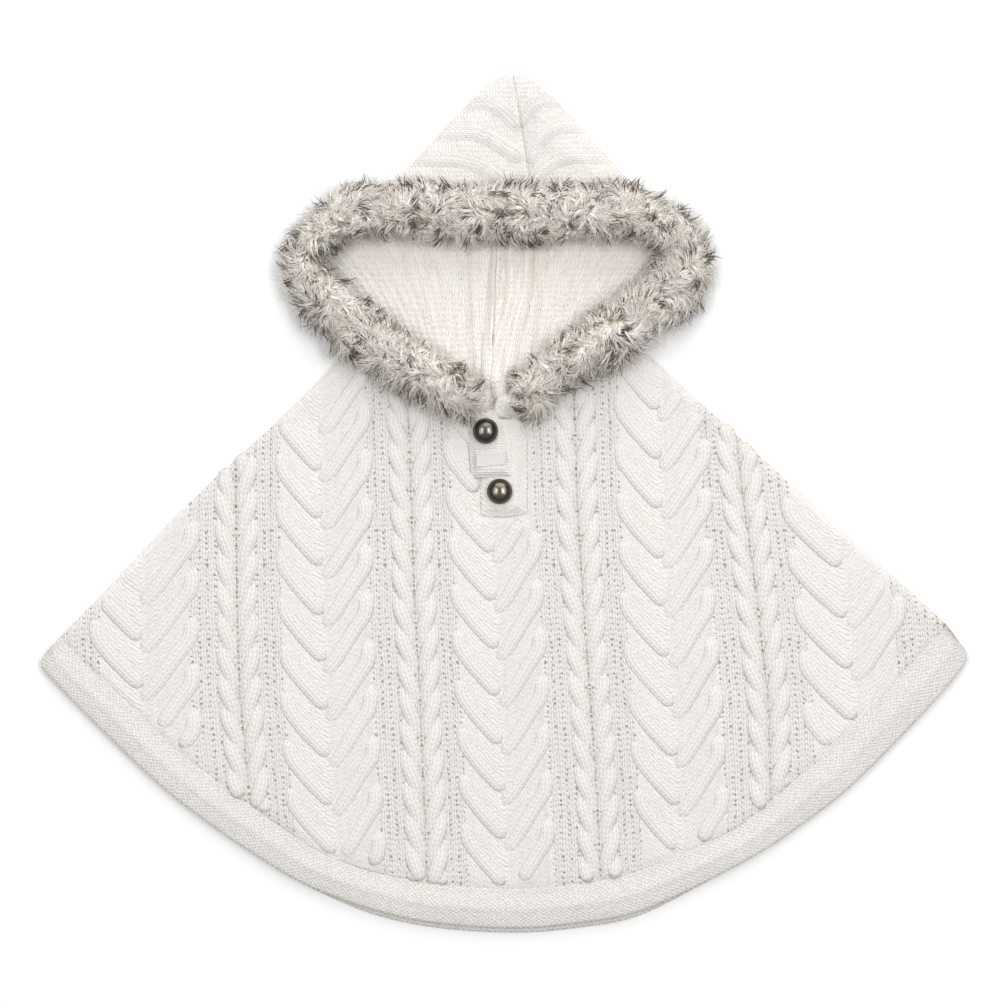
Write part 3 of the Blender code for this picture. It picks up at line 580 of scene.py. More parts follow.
back_upper, back_lower = body_edges(edge(HOOD_NECK, -SEAM_CLEARANCE), *BACK_SHOULDERS)
LEFT_END, RIGHT_END = HEM[0, 0] + CORNER_INSET, HEM[-1, 0] - CORNER_INSET
x, y = panel_grid(back_upper, back_lower, LEFT_END, RIGHT_END, 150, 90)
rim = ramp(np.minimum(back_upper(x) - y, y - back_lower(x)), 5 * MM)
back = shell("back_panel", x, y, BACK_WALL * (0.75 + 0.25 * rim), 0.0, knit_map(x, y))
dress(back, PANEL_KNIT, "body_back", "cream_knit")

# Front panel
# The same knit, cut like the back with a lower neck: rows that follow the arms in the chevron lanes and
# eyelet ladders between them. It lies on the back, and is pressed flat under the placket.

FRONT_UNDERSIDE = 3.3 * MM
FRONT_WALL = 2.4 * MM
FRONT_EDGE = 0.8 * MM  # the wall's height at the free edges
# The ground's height in mm between one arm and the next, at shares of a repeat
LEFT_FILL = ((0.0, 0.08, 0.3, 0.6, 0.93, 1.0), (0.3, 0.9, 1.4, 1.4, 0.8, 0.3))
RIGHT_FILL = ((0.0, 0.1, 0.35, 0.63, 0.9, 1.0), (0.2, 0.6, 1.1, 1.4, 1.3, 0.4))
PLACKET_BOX = MM * np.array([(-28.0, -11.0), (18.0, 92.0)])


def swell(x, y, depth):
    """Soft unevenness of cloth that lies on a table: three slow waves added."""
    waves = np.sin(21 * x + 9 * y + 1.0) + np.sin(-13 * x + 27 * y) + np.sin(38 * x - 17 * y + 2.0)
    return depth * waves / 3


def front_ground(x, y):
    """Height over the plain wall. In a chevron lane it is lowest along the lower edge of each left
    strand and the upper edge of each right one, and rises from there to the next strand."""
    nearest, out, share, left, right = chevron_place(x, y)
    left = left / CHEVRON_REPEAT[nearest] % 1
    right = right / CHEVRON_REPEAT[nearest] % 1
    fill = MM * (np.interp(left, *LEFT_FILL) * (1 - share) + np.interp(right, *RIGHT_FILL) * share)
    inside = ramp(38 * MM - out, 7 * MM)
    return 0.7 * MM * (1 - inside) + inside * fill


front_upper, front_lower = body_edges(edge(FRONT_NECK), FRONT_NECK[0], FRONT_NECK[-1])
x, y = panel_grid(front_upper, front_lower, LEFT_END, RIGHT_END, 310, 240)
from_edge = np.minimum(0.72 * (front_upper(x) - y), y - front_lower(x) + 2.6 * MM)
rim = np.sqrt(np.clip(from_edge / (5 * MM), 0.1, 1))
(left, low), (right, high) = PLACKET_BOX
in_placket = np.minimum.reduce([x - left, right - x, y - low, high - y])
pressed = (1 - ramp(in_placket + 4 * MM, 5 * MM)) * ramp(y - front_lower(x), 9 * MM)
relief = pressed * front_ground(x, y) + swell(x, y, 0.5 * MM)
top = FRONT_UNDERSIDE + FRONT_EDGE + rim * (FRONT_WALL - FRONT_EDGE + relief)
front = shell("front_panel", x, y, top, FRONT_UNDERSIDE, knit_map(x, y))

# Cable strands
# The raised yarn of the cables, knitted in one with the front: half-round strands that come down from
# both sides of a chevron lane and meet in a V, and pairs of two-strand ropes.

# out from the lane's middle, up from the left strand's end, height over the ground
LEFT_PATH = MM * np.array([
    (26.5, 53.5, -1.6), (30.2, 50, -0.2), (31.8, 44.5, 0.4), (29.6, 35.6, 0.5), (21, 23.3, 0.5),
    (10.2, 10.6, 0.5), (1.2, 1.2, 0.6),
])
RIGHT_PATH = MM * np.array([
    (27.5, 55.8, -1.6), (30.8, 52.5, -0.2), (32.4, 46.4, 0.7), (30.4, 36.8, 0.9), (24, 27, 0.9),
    (16, 14.6, 0.8), (8, 2.4, 0.7), (1, -7, 0.2), (-3, -11.4, -0.9),
])
ARM_HALF_WIDTH = 6.6 * MM
ARM_HALF_HEIGHT = 2.3 * MM
ARM_SUNK = 1.45 * MM
ARM_POINTS = 24
ARM_SHORTEST = 10  # points that show
ARM_CLEARANCE = 4.5 * MM
ARM_REPEATS = range(-7, 7)
ROPE_PITCH = 49.6 * MM
ROPE_HALF_WIDTH = 6.6 * MM
ROPE_HALF_HEIGHT = 2.1 * MM
ROPE_SWAY = 3.0 * MM
ROPE_CENTRE = 8.9 * MM
ROPE_CLEARANCE = 0.3 * MM
ROPE_SHORTEST = 6
FLATTER_BELOW = 0.45
STITCHES_AROUND = 8.0
STRANDS_STOP = MM * np.array([(-21.0, -12.0), (19.0, 95.0)])  # at the placket
FUR_OUTLINE = MM * np.array([
    (8, 250), (-92.8, 250), (-137.6, 240), (-162, 214), (-172, 187.6), (-166, 160),
    (-136, 134), (-110, 117), (-70, 94), (-45, 80), (-25.2, 77), (19.2, 84), (32, 86),
    (51, 104), (102, 126), (118, 136), (146, 156), (156, 176), (154, 203.6),
    (140, 222), (108, 246), (68, 250),
])


def inside_outline(x, y, outline):
    """Whether points lie in a closed outline: an odd number of its sides lies to their right."""
    start, end = outline, np.roll(outline, -1, axis=0)
    x, y = x[..., None], y[..., None]
    spans = (start[:, 1] > y) != (end[:, 1] > y)
    slope = (end[:, 0] - start[:, 0]) / (end[:, 1] - start[:, 1])
    return (spans & (x < start[:, 0] + slope * (y - start[:, 1]))).sum(-1) % 2 == 1


def shown_run(path, clearance):
    """The longest run of a path's points that lies on the panel, clear of the placket and the fur."""
    x, y = path[:, 0], path[:, 1]
    (left, low), (right, high) = STRANDS_STOP
    free = (y < front_upper(x) - clearance) & (y > front_lower(x) + clearance)
    free &= ~((x > left) & (x < right) & (y > low) & (y < high))
    free &= ~inside_outline(x, y, FUR_OUTLINE)
    ends = np.flatnonzero(np.diff(np.concatenate([[False], free, [False]])))
    if len(ends) == 0:
        return path[:0]
    runs = ends.reshape(-1, 2)
    first, last = runs[np.argmax(runs[:, 1] - runs[:, 0])]
    return path[first:last]


def strand(path, half_width, half_height, around):
    """A closed strand carried along a path: an oval section, flattened below and rounded off at both
    ends, as (points, faces, UV "yarn" in stitches around and along)."""
    run = run_along(path)
    way = np.gradient(path, axis=0)
    way /= np.linalg.norm(way, axis=1, keepdims=True)
    up = np.array([0.0, 0.0, 1.0])
    side = np.cross(way, up)
    side /= np.linalg.norm(side, axis=1, keepdims=True)
    from_end = np.minimum(run, run[-1] - run) / half_width
    full = np.sqrt(np.clip(from_end * 1.1 + 0.12, 0, 1))[:, None, None]
    turn = np.linspace(0, 2 * np.pi, around, endpoint=False)
    to_side = np.sign(np.cos(turn)) * np.abs(np.cos(turn)) ** 0.8 * half_width
    to_top = np.where(np.sin(turn) > 0, np.sin(turn), FLATTER_BELOW * np.sin(turn)) * half_height
    points = path[:, None] + full * (side[:, None] * to_side[None, :, None] + up * to_top[None, :, None])
    spot = np.arange(len(path) * around).reshape(len(path), around)
    following = np.roll(spot, -1, axis=1)
    quads = np.stack([spot[:-1], following[:-1], following[1:], spot[1:]], -1).reshape(-1, 4)
    caps = np.stack([spot[0, ::-1], spot[-1]])
    stitches = pairs(turn / (2 * np.pi) * STITCHES_AROUND, run[:, None] / MM / STITCH[1])
    return points.reshape(-1, 3), [quads, caps], [("yarn", stitches)]


def strand_material():
    """The cables' yarn: V stitches along each strand, with paler painted shade in their grooves than the
    ground's.
    """
    made, w, shader = new_cloth("cable_yarn")
    height, groove = w.group(STOCKINETTE, w.uv("yarn"), 0.14)
    finish_cloth(w, shader, w.mix(0.38 * groove, CREAM_YARN, CREAM_GROOVE_SHADE), height, 0.0005)
    return made


random = np.random.default_rng(11)
arms, ropes = [], []
base = FRONT_UNDERSIDE + FRONT_WALL + FRONT_EDGE
for k, (end, repeat, spread) in enumerate(zip(CHEVRON_END, CHEVRON_REPEAT, CHEVRON_SPREAD)):
    middle = x_of(LANE_AT_COLUMN[2 * k, 2])
    for step in ARM_REPEATS:
        for side, shape in ((-1, LEFT_PATH), (1, RIGHT_PATH)):
            shape = smooth(shape, ARM_POINTS)
            out = shape[:, 0] * spread + random.normal(0, 0.35 * MM)
            taller = shape[:, 1] * (1 + 0.3 * (spread - 1))
            up = end + step * repeat + taller + random.normal(0, 0.4 * MM)
            high = base - ARM_SUNK + shape[:, 2] + swell(middle, up, 0.3 * MM)
            path = np.column_stack([lane_centre(2 * k, up) + side * out, up, high])
            path = shown_run(path, ARM_CLEARANCE)
            if len(path) >= ARM_SHORTEST:
                arms.append(strand(path, ARM_HALF_WIDTH * spread**0.5, ARM_HALF_HEIGHT, 12))
for lane in (1, 3, 5, 7):
    for mirrored in (-1, 1):
        for phase in (0, np.pi):
            up = np.arange(-0.31, 0.15, 2.9 * MM)
            turn = 2 * np.pi * up / ROPE_PITCH + phase + 0.7 * lane
            sway = ROPE_SWAY * np.sin(turn) + 0.4 * MM * np.sin(47 * up + 2 * lane + mirrored)
            high = base - 1.2 * MM + 0.9 * MM * np.cos(turn)
            path = np.column_stack([lane_centre(lane, up) + mirrored * (ROPE_CENTRE + sway), up, high])
            path = shown_run(path, ROPE_CLEARANCE)
            if len(path) >= ROPE_SHORTEST:
                ropes.append(strand(path, ROPE_HALF_WIDTH, ROPE_HALF_HEIGHT, 10))
CABLE_YARN = strand_material()
chevron_strands = shells("chevron_strands", *arms)
rope_strands = shells("rope_strands", *ropes)
for piece, material in ((chevron_strands, CABLE_YARN), (rope_strands, CABLE_YARN), (front, PANEL_KNIT)):
    dress(piece, material, "body_front", "cream_knit")

# Hem bands
# A narrow band in dense moss stitch, knitted on along the hem of each panel. The front's lies on the
# back's, which shows a little below it at the middle.

HEM_YARN = (0.90, 0.864, 0.828, 1.0)
HEM_GROOVE_SHADE = (0.50, 0.46, 0.42, 1.0)
MOSS_STITCH = (2.1, 1.6)  # mm
LONGER_MIDDLE = 95.0 * MM  # half the width over which the back's band is longest


def moss_group():
    """Moss stitch: bumps on every other square of a grid, the product of a sine across and one along."""
    w, stitches = new_group(
        "moss", [("Stitches", "Vector", (0.0, 0.0, 0.0))], [("Height", "Float"), ("Groove", "Float")]
    )
    noise = w.add("TexNoise", stitches, None, 0.55, 3.0, 0.7, output="Color")
    u, v = w.split(w.vector("MULTIPLY_ADD", noise, (3.6, 2.6, 0.0), stitches))
    height = 0.5 * (w.sine(0.5 * u) * w.sine(0.5 * v)) + 0.5
    return w.give(height, w.fade(height, 0.1, 0.55, 1.0, 0.0))


def hem_material():
    made, w, shader = new_cloth("hem_yarn")
    height, groove = w.group(moss_group(), w.uv("yarn"))
    # Painted shade in the moss stitch's grooves
    finish_cloth(w, shader, w.mix(0.5 * groove, HEM_YARN, HEM_GROOVE_SHADE), height, 0.0006)
    return made


def hem_band(name, node, underside, thickness, longer):
    """The ruled surface from the hem's free edge to its seam, thinner at both edges, with a low ridge
    along the middle, over a flat face."""
    line = smooth(HEM, 480)
    line[:, 3] -= longer * (1 - ramp(np.abs(line[:, 2]) - LONGER_MIDDLE, LONGER_MIDDLE))
    share = np.linspace(0, 1.04, 17)[:, None]
    x = line[:, 2] + (line[:, 0] - line[:, 2]) * share
    y = line[:, 3] + (line[:, 1] - line[:, 3]) * share
    run = run_along(line[:, 2:])
    roll = np.sqrt(np.sin(np.pi * np.clip(share, 0.02, 0.5)))
    ridge = 0.7 * MM * bell(share - 0.5, 0.09)
    meet = 1 - 0.5 * ramp(share - 0.55, 0.45)
    wave = 0.25 * MM * np.sin(run * 60 + 3 * share)
    top = underside + thickness * (0.35 + 0.6 * roll) * meet + ridge + wave
    width = np.hypot(x[-1] - x[0], y[-1] - y[0])
    stitches = pairs(run, share * width) / MM / MOSS_STITCH
    made = shell(name, x, y, top, underside, [("yarn", stitches)])
    dress(made, HEM_MATERIAL, node, "hem_knit")
    return made


HEM_MATERIAL = hem_material()
back_band = hem_band("back_hem_band", "hem_band_back", 0.0, 2.6 * MM, 4.2 * MM)
front_band = hem_band("front_hem_band", "hem_band_front", FRONT_UNDERSIDE, 4.8 * MM, 0.0)

# Hood
# Two halves in warm rib and cable knit, sewn up the middle and folded flat: the back of the hood
# lies on the table with its inside up, and its crown comes back over it from the fold to the fur.

HOOD_OUTLINE = MM * np.array([
    (-164, 190), (-144, 211.6), (-116, 237.2), (-85.6, 262.8), (-76.8, 270.8), (-64.8, 283.6),
    (-47.2, 302.8), (-35.2, 315.6), (-22.4, 328.4), (-15.2, 334.8), (-7.2, 341.2), (0, 343.8),
    (6.4, 344.4), (13.6, 343.8), (20.8, 341.2), (28.8, 334.8), (43.2, 322), (55.2, 309.2),
    (66.4, 296.4), (77.6, 283.6), (89.6, 270.8), (103.2, 255.6), (128, 226), (148, 194),
])
HOOD_RIM_Y = 222.8 * MM
HOOD_SEAM = (-6.6 * MM, 0.0475)  # x at Y = 0.2, and lean
CROWN_SEAM = (29.4 * MM, -0.16)
SEAM_DATUM_Y = 200.0 * MM
CROWN_ROUNDING = 27.0 * MM
CROWN_YARN = (0.89, 0.853, 0.822, 1.0)
# The lining's yarn is warmer than the crown's, and painted lighter to offset the shade the fur casts
# into the hood
WARM_YARN_PAINTED_LIGHTER = (1.0, 0.955, 0.90, 1.0)
# Painted shade for the hood: its stitches' grooves, beside its strands, between its ribs, along the seam
# and under the fold
WARM_GROOVE_SHADE = (0.76, 0.69, 0.615, 1.0)
# Raised strands as paths in pixels of the picture, with half width and height in mm
INNER_STRANDS = (
    ([(499, 240), (498, 262), (494, 300), (490, 345), (488, 380)], 5.6, 3.0),
    ([(510, 240), (511, 262), (512, 292), (503, 322), (492, 352), (488, 380)], 6.4, 3.8),
    ([(527, 240), (526, 262), (524, 292), (514, 330), (508, 362), (500, 392)], 6.4, 3.4),
    ([(443, 240), (442, 300), (452, 360)], 3.4, 1.0),
    ([(430, 240), (427, 300), (440, 350)], 3.4, 1.0),
    ([(552, 240), (550, 300), (545, 340)], 3.4, 1.0),
    ([(579, 240), (574, 300), (566, 330)], 3.4, 1.0),
)
INNER_GROOVES = (
    ([(470, 240), (469, 300), (468, 340), (477, 390)], 3.2, 1.5),
    ([(536, 240), (535, 262), (537, 300), (533, 350)], 3.0, 1.5),
    ([(492, 240), (491, 262), (488, 317), (483, 345)], 1.5, 1.4),
    ([(505, 240), (505, 290), (498, 330), (489, 352)], 1.5, 1.4),
    ([(520, 240), (518, 290), (507, 335), (500, 372)], 1.5, 1.4),
)
CROWN_STRANDS = (
    ([(418, 132), (457, 131.5), (475, 132.5), (492, 138.5), (503, 146.5), (516, 154)], 6.4, 1.6),
    ([(534, 156), (535.5, 144), (543, 134.5), (552, 127.5), (561, 124.5), (615, 124)], 6.4, 1.6),
    ([(395, 158), (455, 159), (475, 164), (492, 173), (510, 190)], 6.0, 1.3),
    ([(530, 190), (541, 170), (555, 160), (572, 156), (640, 156)], 6.0, 1.3),
    ([(450, 104), (489, 104), (502, 112), (514, 124)], 4.6, 1.0),
    ([(522, 122), (532, 106), (545, 101), (580, 101)], 4.6, 1.0),
    ([(380, 184), (440, 183), (470, 188), (486, 200)], 5.4, 1.0),
    ([(552, 200), (566, 186), (590, 182), (660, 184)], 5.4, 1.0),
)


def path_distance(x, y, path):
    """Distance from points to a path of straight runs: the least of the distances to each run."""
    line = np.column_stack([x_of([p[0] for p in path]), y_of([p[1] for p in path])])
    least = np.full(np.shape(x), np.inf)
    for start, end in zip(line[:-1], line[1:]):
        way = end - start
        share = np.clip(((x - start[0]) * way[0] + (y - start[1]) * way[1]) / way.dot(way), 0, 1)
        least = np.minimum(least, np.hypot(x - start[0] - share * way[0], y - start[1] - share * way[1]))
    return least


def raised(x, y, strands):
    """Height of half-round strands over the ground: the highest of the circles' arcs."""
    high = np.zeros(np.shape(x))
    for path, half_width, height in strands:
        across = path_distance(x, y, path) / (half_width * MM)
        high = np.maximum(high, height * MM * np.sqrt(np.clip(1 - across**2, 0, 1)))
    return high


def leaning_grid(seam, x_side, lower, upper, across, up):
    """Columns that lean with a seam, less and less to the side, and rows from one line to another."""
    share = np.linspace(0, 1, across)[None, :]
    lean = seam[1] * (1 - share)
    foot = seam[0] - seam[1] * SEAM_DATUM_Y
    foot = foot + (x_side - foot) * share
    low = high = np.full(share.shape, SEAM_DATUM_Y)
    for _ in range(12):
        low, high = lower(foot + lean * low), upper(foot + lean * high)
    rows = 1 - (1 - np.linspace(0, 1, up)[:, None]) ** 1.4
    y = low + (high - low) * rows
    return foot + lean * y, y


hood_outline = edge(HOOD_OUTLINE)
hood_neck = edge(HOOD_NECK)


def fullness(x, y):
    """0 at the hood's outline and 1 a rounding's width inside it, as the root of the share."""
    return np.sqrt(np.clip((hood_outline(x) - y) / CROWN_ROUNDING, 0, 1))


def off_seam(x, y):
    """How far to the right of the crown's leaning seam."""
    return x - CROWN_SEAM[0] - CROWN_SEAM[1] * (y - SEAM_DATUM_Y)


def crown_height(x, y):
    groove = 1.0 * MM * bell(off_seam(x, y), 1.0 * MM)
    folds = 0.5 * MM * np.sin(210 * x + 60 * y) * np.sin(190 * y - 40 * x)
    return 3.3 * MM + fullness(x, y) * (6.9 * MM + raised(x, y, CROWN_STRANDS) + folds - groove)


def lining_height(x, y):
    return BACK_WALL + 0.5 * MM + raised(x, y, INNER_STRANDS) - raised(x, y, INNER_GROOVES)


def hood_material():
    """The hood's knit: columns of V stitches between the strands and along them, and holes as dark
    specks of painted shade. UV "knit" holds stitches across and along, UV "strand" how far off the
    nearest strand's middle is, in its half widths, and stitches along, and UV "shade" how much shade is
    painted in the grooves between strands, under the fold and along the crown's seam, and 1 inside the
    hood."""
    made, w, shader = new_cloth("hood_knit")
    knit = w.uv("knit")
    off, along = w.split(w.uv("strand"))
    shade, inner = w.split(w.uv("shade"))
    ground, ground_groove = w.group(STOCKINETTE, knit, 0.38)
    yarn, yarn_groove = w.group(STOCKINETTE, w.join(2.0 * off, along), 0.1)
    on_strand = w.fade(off, 0.95, 1.05, 1.0, 0.0)
    groove = on_strand * (yarn_groove - ground_groove) + ground_groove
    uneven = w.fade(w.noise(knit, 0.5, 2.0, 0.5), 0.3, 0.6, 0.25, 1.0)
    u, v = w.split(knit)
    hole, _ = w.group(EYELETS, w.join(0.5 * u, 0.6 * v), 0.35)
    beside = w.fade(off, 0.85, 1.02) * w.fade(off, 1.4, 1.1)
    ribs = w.cosine(0.5 * u) * inner
    # Painted shade in the stitches' grooves, on a lining yarn that is painted lighter
    colour = w.mix(0.5 * groove * uneven, w.mix(inner, CROWN_YARN, WARM_YARN_PAINTED_LIGHTER), WARM_GROOVE_SHADE)
    colour = w.mix(0.5 * hole, colour, EYELET_SHADE)
    # Painted shade from UV "shade": the grooves between inner strands, a band under the fold, and the
    # crown's seam
    colour = w.mix(0.45 * shade, colour, WARM_GROOVE_SHADE)
    # Painted shade just beside the strands' edges
    colour = w.mix(beside * w.fade(inner, 0.0, 1.0, 0.25, 0.45), colour, WARM_GROOVE_SHADE)
    # Painted shade between the lining's ribs
    colour = w.mix(w.fade(ribs, 0.2, -0.9, 0.0, 0.05), colour, WARM_GROOVE_SHADE)
    height = on_strand * (yarn - ground) + ground
    finish_cloth(w, shader, colour, 0.6 * ribs + height - 0.6 * hole, 0.0006)
    return made


def hood_maps(x, y, middle, fan, stitch, strands, dark, inner):
    """Stitch columns that fan out upward from a middle line, the distance from the strands, and the
    painted shade given as dark. inner is 1 inside the hood, where the yarn is warmer and painted
    lighter, and 0 on the crown."""
    spread = 1 + (fan + 40 * np.abs(x - middle)) * (y - SEAM_DATUM_Y)
    off = np.min([path_distance(x, y, path) / half_width for path, half_width, _ in strands], 0) / MM
    along = (x + y if inner == 0 else y) / MM / 4.2
    across = (x - middle) / spread / MM
    return [
        ("knit", pairs(across, y / MM) / stitch),
        ("strand", pairs(off, along)),
        ("shade", pairs(dark, inner)),
    ]


def rim_line(x):
    return np.full_like(x, HOOD_RIM_Y)


def fold_line(x):
    return hood_outline(x) - 0.8 * MM


HOOD_KNIT = hood_material()
for name, node, lining_side, crown_side, area in (
    ("hood_left_knit", "hood_left", -162 * MM, -127 * MM, 0.0398),
    ("hood_right_knit", "hood_right", 146 * MM, 125 * MM, 0.0380),
):
    x, y = leaning_grid(HOOD_SEAM, lining_side, hood_neck, hood_outline, 80, 110)
    # Painted shade for the lining: a band of painted shadow under the fold and the fur, and the grooves
    # between the inner strands
    painted_shadow_under_fold = 0.6 * bell(y - 214 * MM, 10 * MM)
    dark = np.maximum(0.8 * raised(x, y, INNER_GROOVES) / (1.5 * MM), painted_shadow_under_fold)
    shown = ramp(HOOD_RIM_Y - y, 6 * MM) * ramp(y - front_upper(x) - 1 * MM, 5 * MM)
    top = BACK_WALL + (lining_height(x, y) - BACK_WALL) * shown
    maps = hood_maps(x, y, -6.6 * MM, 2.2, (4.4, 4.8), INNER_STRANDS[:3], dark, 1.0)
    lining = shell_arrays(x, y, top, 0.0, maps)
    x, y = leaning_grid(CROWN_SEAM, crown_side, rim_line, fold_line, 84, 92)
    top = crown_height(x, y)
    # Painted shade along the groove of the crown's seam
    dark = 0.5 * bell(off_seam(x, y), 0.8 * MM)
    maps = hood_maps(x, y, 20 * MM, -1.0, (3.6, 4.0), CROWN_STRANDS, dark, 0.0)
    crown = shell_arrays(x, y, top, top - 1.2 * MM - 1.8 * MM * fullness(x, y), maps)
    half = shells(name, lining, crown)
    dress(half, HOOD_KNIT, node, "hood_knit")

# Placket and label
# Two strips of knit that close the neck opening, one over the other, with the neck's end turned out in
# a roll, and a bare woven tape sewn across the upper strip beside the button.

UNDER_UPPER = MM * np.array([
    (-19.2, 22.8), (-15.0, 50.0), (-7.0, 84.0), (2.4, 89.0), (11.2, 84.4), (17.6, 51.6),
])
UNDER_LOWER = MM * np.array([(-19.2, -8.4), (0.0, -10.0), (17.6, -6.8)])
RIB_PITCH = 3.4 * MM
FAN_CENTRE = (1 * MM, 60 * MM)  # of the roll's ribs
OVER_RIBS = (24.5, 29.0, 38.5, 42.0, 46.0)  # Y in mm
THIN_EDGE = 0.03


def strip_material(name, yarn, depth, distance):
    """Ribbed or woven strip. UV "yarn" holds stitches across and along."""
    made, w, shader = new_cloth(name)
    height, groove = w.group(STOCKINETTE, w.uv("yarn"), 0.1)
    # Painted shade in the grooves between stitches, as deep as depth
    finish_cloth(w, shader, w.mix(depth * groove, yarn, CREAM_GROOVE_SHADE), height, distance)
    return made


def strip_map(across, along, stitch):
    return [("yarn", pairs(across, along) / MM / stitch)]


PLACKET_KNIT = strip_material("placket_knit", CREAM_YARN, 0.5, 0.0005)
LABEL_WEAVE = strip_material("label_weave", (0.86, 0.825, 0.795, 1.0), 0.35, 0.0002)

strip_upper, strip_lower = edge(UNDER_UPPER), edge(UNDER_LOWER)
left, right = UNDER_UPPER[0, 0], UNDER_UPPER[-1, 0]
x, y = panel_grid(strip_upper, strip_lower, left, right, 46, 110)
inset = np.minimum.reduce([strip_upper(x) - y, y - strip_lower(x), x - left, right - x])
in_roll = ramp(y - 66 * MM, 6 * MM)
rim = THIN_EDGE + (1 - THIN_EDGE) * ramp(inset, MM * (9 - 5 * in_roll))
fan = np.arctan2(x - FAN_CENTRE[0], y - FAN_CENTRE[1]) * 24 * MM
lower_rib = bell(y + 5.5 * MM, 1.6 * MM)
ribs = 0.8 * MM * in_roll * np.cos(2 * np.pi * fan / RIB_PITCH) + 0.5 * MM * lower_rib
roll = 2.6 * MM * in_roll * np.sqrt(np.clip(1 - ((y - 78 * MM) / (13 * MM)) ** 2, 0, 1))
(_, lanes), (_, rows) = knit_map(x, y)
rows[:, 0] = np.where(in_roll.ravel() > 0.5, 1.3 * fan.ravel() / MM, rows[:, 0])
maps = [("knit", lanes), ("arms", rows)]
placket_under = shell("under_placket", x, y, 6.8 * MM + rim * (2.8 * MM + ribs + roll), 6.5 * MM, maps)

across, up = np.meshgrid(np.linspace(0, 1, 44), np.linspace(0, 1, 70))
x = MM * (-26.8 + 32 * across - 4.8 * up * (1 + across))
y = MM * (21.0 + 2.0 * across + 53.2 * up)
inset = np.minimum(MM * 53 * np.minimum(up, 1 - up), MM * 28 * np.minimum(across, 1 - across))
rim = THIN_EDGE + (1 - THIN_EDGE) * ramp(inset, 5 * MM)
ribs = sum(0.5 * MM * bell(y - at * MM, 1.1 * MM) for at in OVER_RIBS)
droop = 2.4 * MM * (1 - ramp(across, 0.4))
top = 9.9 * MM + rim * (2.4 * MM + ribs) - droop
placket_over = shell("over_placket", x, y, top, 9.6 * MM - droop, strip_map(y, x, 4.2))

x, up = np.meshgrid(np.linspace(-23 * MM, 0.2 * MM, 30), np.linspace(0, 1, 26))
lines = 0.09 * MM * np.cos(2 * np.pi * up * 7)
y = 29.9 * MM + 10.2 * MM * up + 0.095 * (x + 24 * MM)
label = shell("plain_label", x, y, 12.9 * MM + lines, 11.4 * MM, strip_map(x, y, 1.2))

for piece, material, node, slot, flat, below in (
    (placket_under, PANEL_KNIT, "placket_under", "cream_knit", (0.0368, 0.099), front),
    (placket_over, PLACKET_KNIT, "placket_over", "cream_knit", (0.032, 0.054), placket_under),
    (label, LABEL_WEAVE, "label", "woven_tape", (0.0234, 0.0102), placket_over),
):
    dress(piece, material, node, slot)

# Buttons
# Two turned metal buttons in polished dark gunmetal, domed, with a thin bare rim of worn brass tone.
# The upper one holds the over strip, the lower one the under strip.

RIM_METAL = (0.24, 0.21, 0.14, 1.0)
# Painted reflection: the colour the domes darken to at their edges
DOME_EDGE_PAINTED_REFLECTION = (0.035, 0.031, 0.027, 1.0)
for node, x, y, rim_top, crown_metal in (
    ("button_upper", -15.6 * MM, 58.6 * MM, 15.3 * MM, (0.21, 0.20, 0.185, 1.0)),
    ("button_lower", -4.3 * MM, 10.5 * MM, 12.3 * MM, (0.27, 0.245, 0.19, 1.0)),
):
    metal, w, shader = new_material(
        node + "_metal", 0.26, Metallic=1.0, Coat_Weight=0.2, Coat_Roughness=0.15
    )
    place = w.object_place()
    flat = w.vector("MULTIPLY", w.vector("SUBTRACT", place, (x, y, 0.0)), (1.0, 1.0, 0.0))
    out = w.add("VectorMath", flat, operation="LENGTH", output="Value")
    # Painted reflection: the dome's colour darkens from its middle towards its edge, for dark
    # surroundings seen in it; scuffs make that fade ragged and vary the roughness
    scuffs = w.noise(place, 500.0, 3.0, 0.6)
    scuffed_reach_of_painted_reflection = 0.9 * MM * scuffs + out
    dome = w.mix(w.fade(scuffed_reach_of_painted_reflection, 3.5 * MM, 9.6 * MM), crown_metal, DOME_EDGE_PAINTED_REFLECTION)
    height = w.add("SeparateXYZ", place, output="Z")
    tone = w.mix(w.fade(height, rim_top, rim_top + 0.9 * MM), RIM_METAL, dome)
    w.feed(tone, shader.inputs["Base Color"])
    w.feed(w.fade(scuffs, 0.3, 0.8, 0.24, 0.28), shader.inputs["Roughness"])
    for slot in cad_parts[node].material_slots:
        slot.material = metal

# Fur trim
# Curly pile on a knitted backing, sewn round the face opening in two strips that meet at the top and
# under the chin. Locks of white and grey hairs have dark brown tips, and lie outward and inward.

FUR_LEFT_OUTER = MM * np.array([
    (8, 254.8), (-36, 256.4), (-92.8, 255.6), (-137.6, 247.4), (-163, 217), (-171, 187.6),
    (-166, 158), (-140, 129.4), (-115.2, 111.6), (-73.6, 87.8), (-48.8, 74.4), (-25.2, 71),
])
FUR_LEFT_INNER = MM * np.array([
    (8, 209.2), (-48.8, 211.6), (-90.4, 216.4), (-127.2, 216.4), (-142.4, 203.6), (-144.8, 187.6),
    (-112.8, 162.8), (-80.8, 135.6), (-48.8, 116.4), (-25.2, 97.4),
])
FUR_RIGHT_OUTER = MM * np.array([
    (8.3, 254.8), (68, 254.8), (108, 252.2), (145, 227.8), (162, 203.6), (164.5, 176),
    (148.8, 149.4), (120.4, 130.8), (104.8, 120.2), (53.6, 98.8), (32, 79.2), (19.2, 77.6),
])
FUR_RIGHT_INNER = MM * np.array([
    (8.3, 209.2), (48.8, 209.2), (104.8, 214), (124.8, 202), (117.6, 186), (97.6, 170),
    (63.2, 146), (32, 121.2), (8, 95),
])
FUR_STATIONS = 200
FUR_SHARE = (0.05, 0.84)  # of the way from the inner edge to the outer one, that the strip takes up
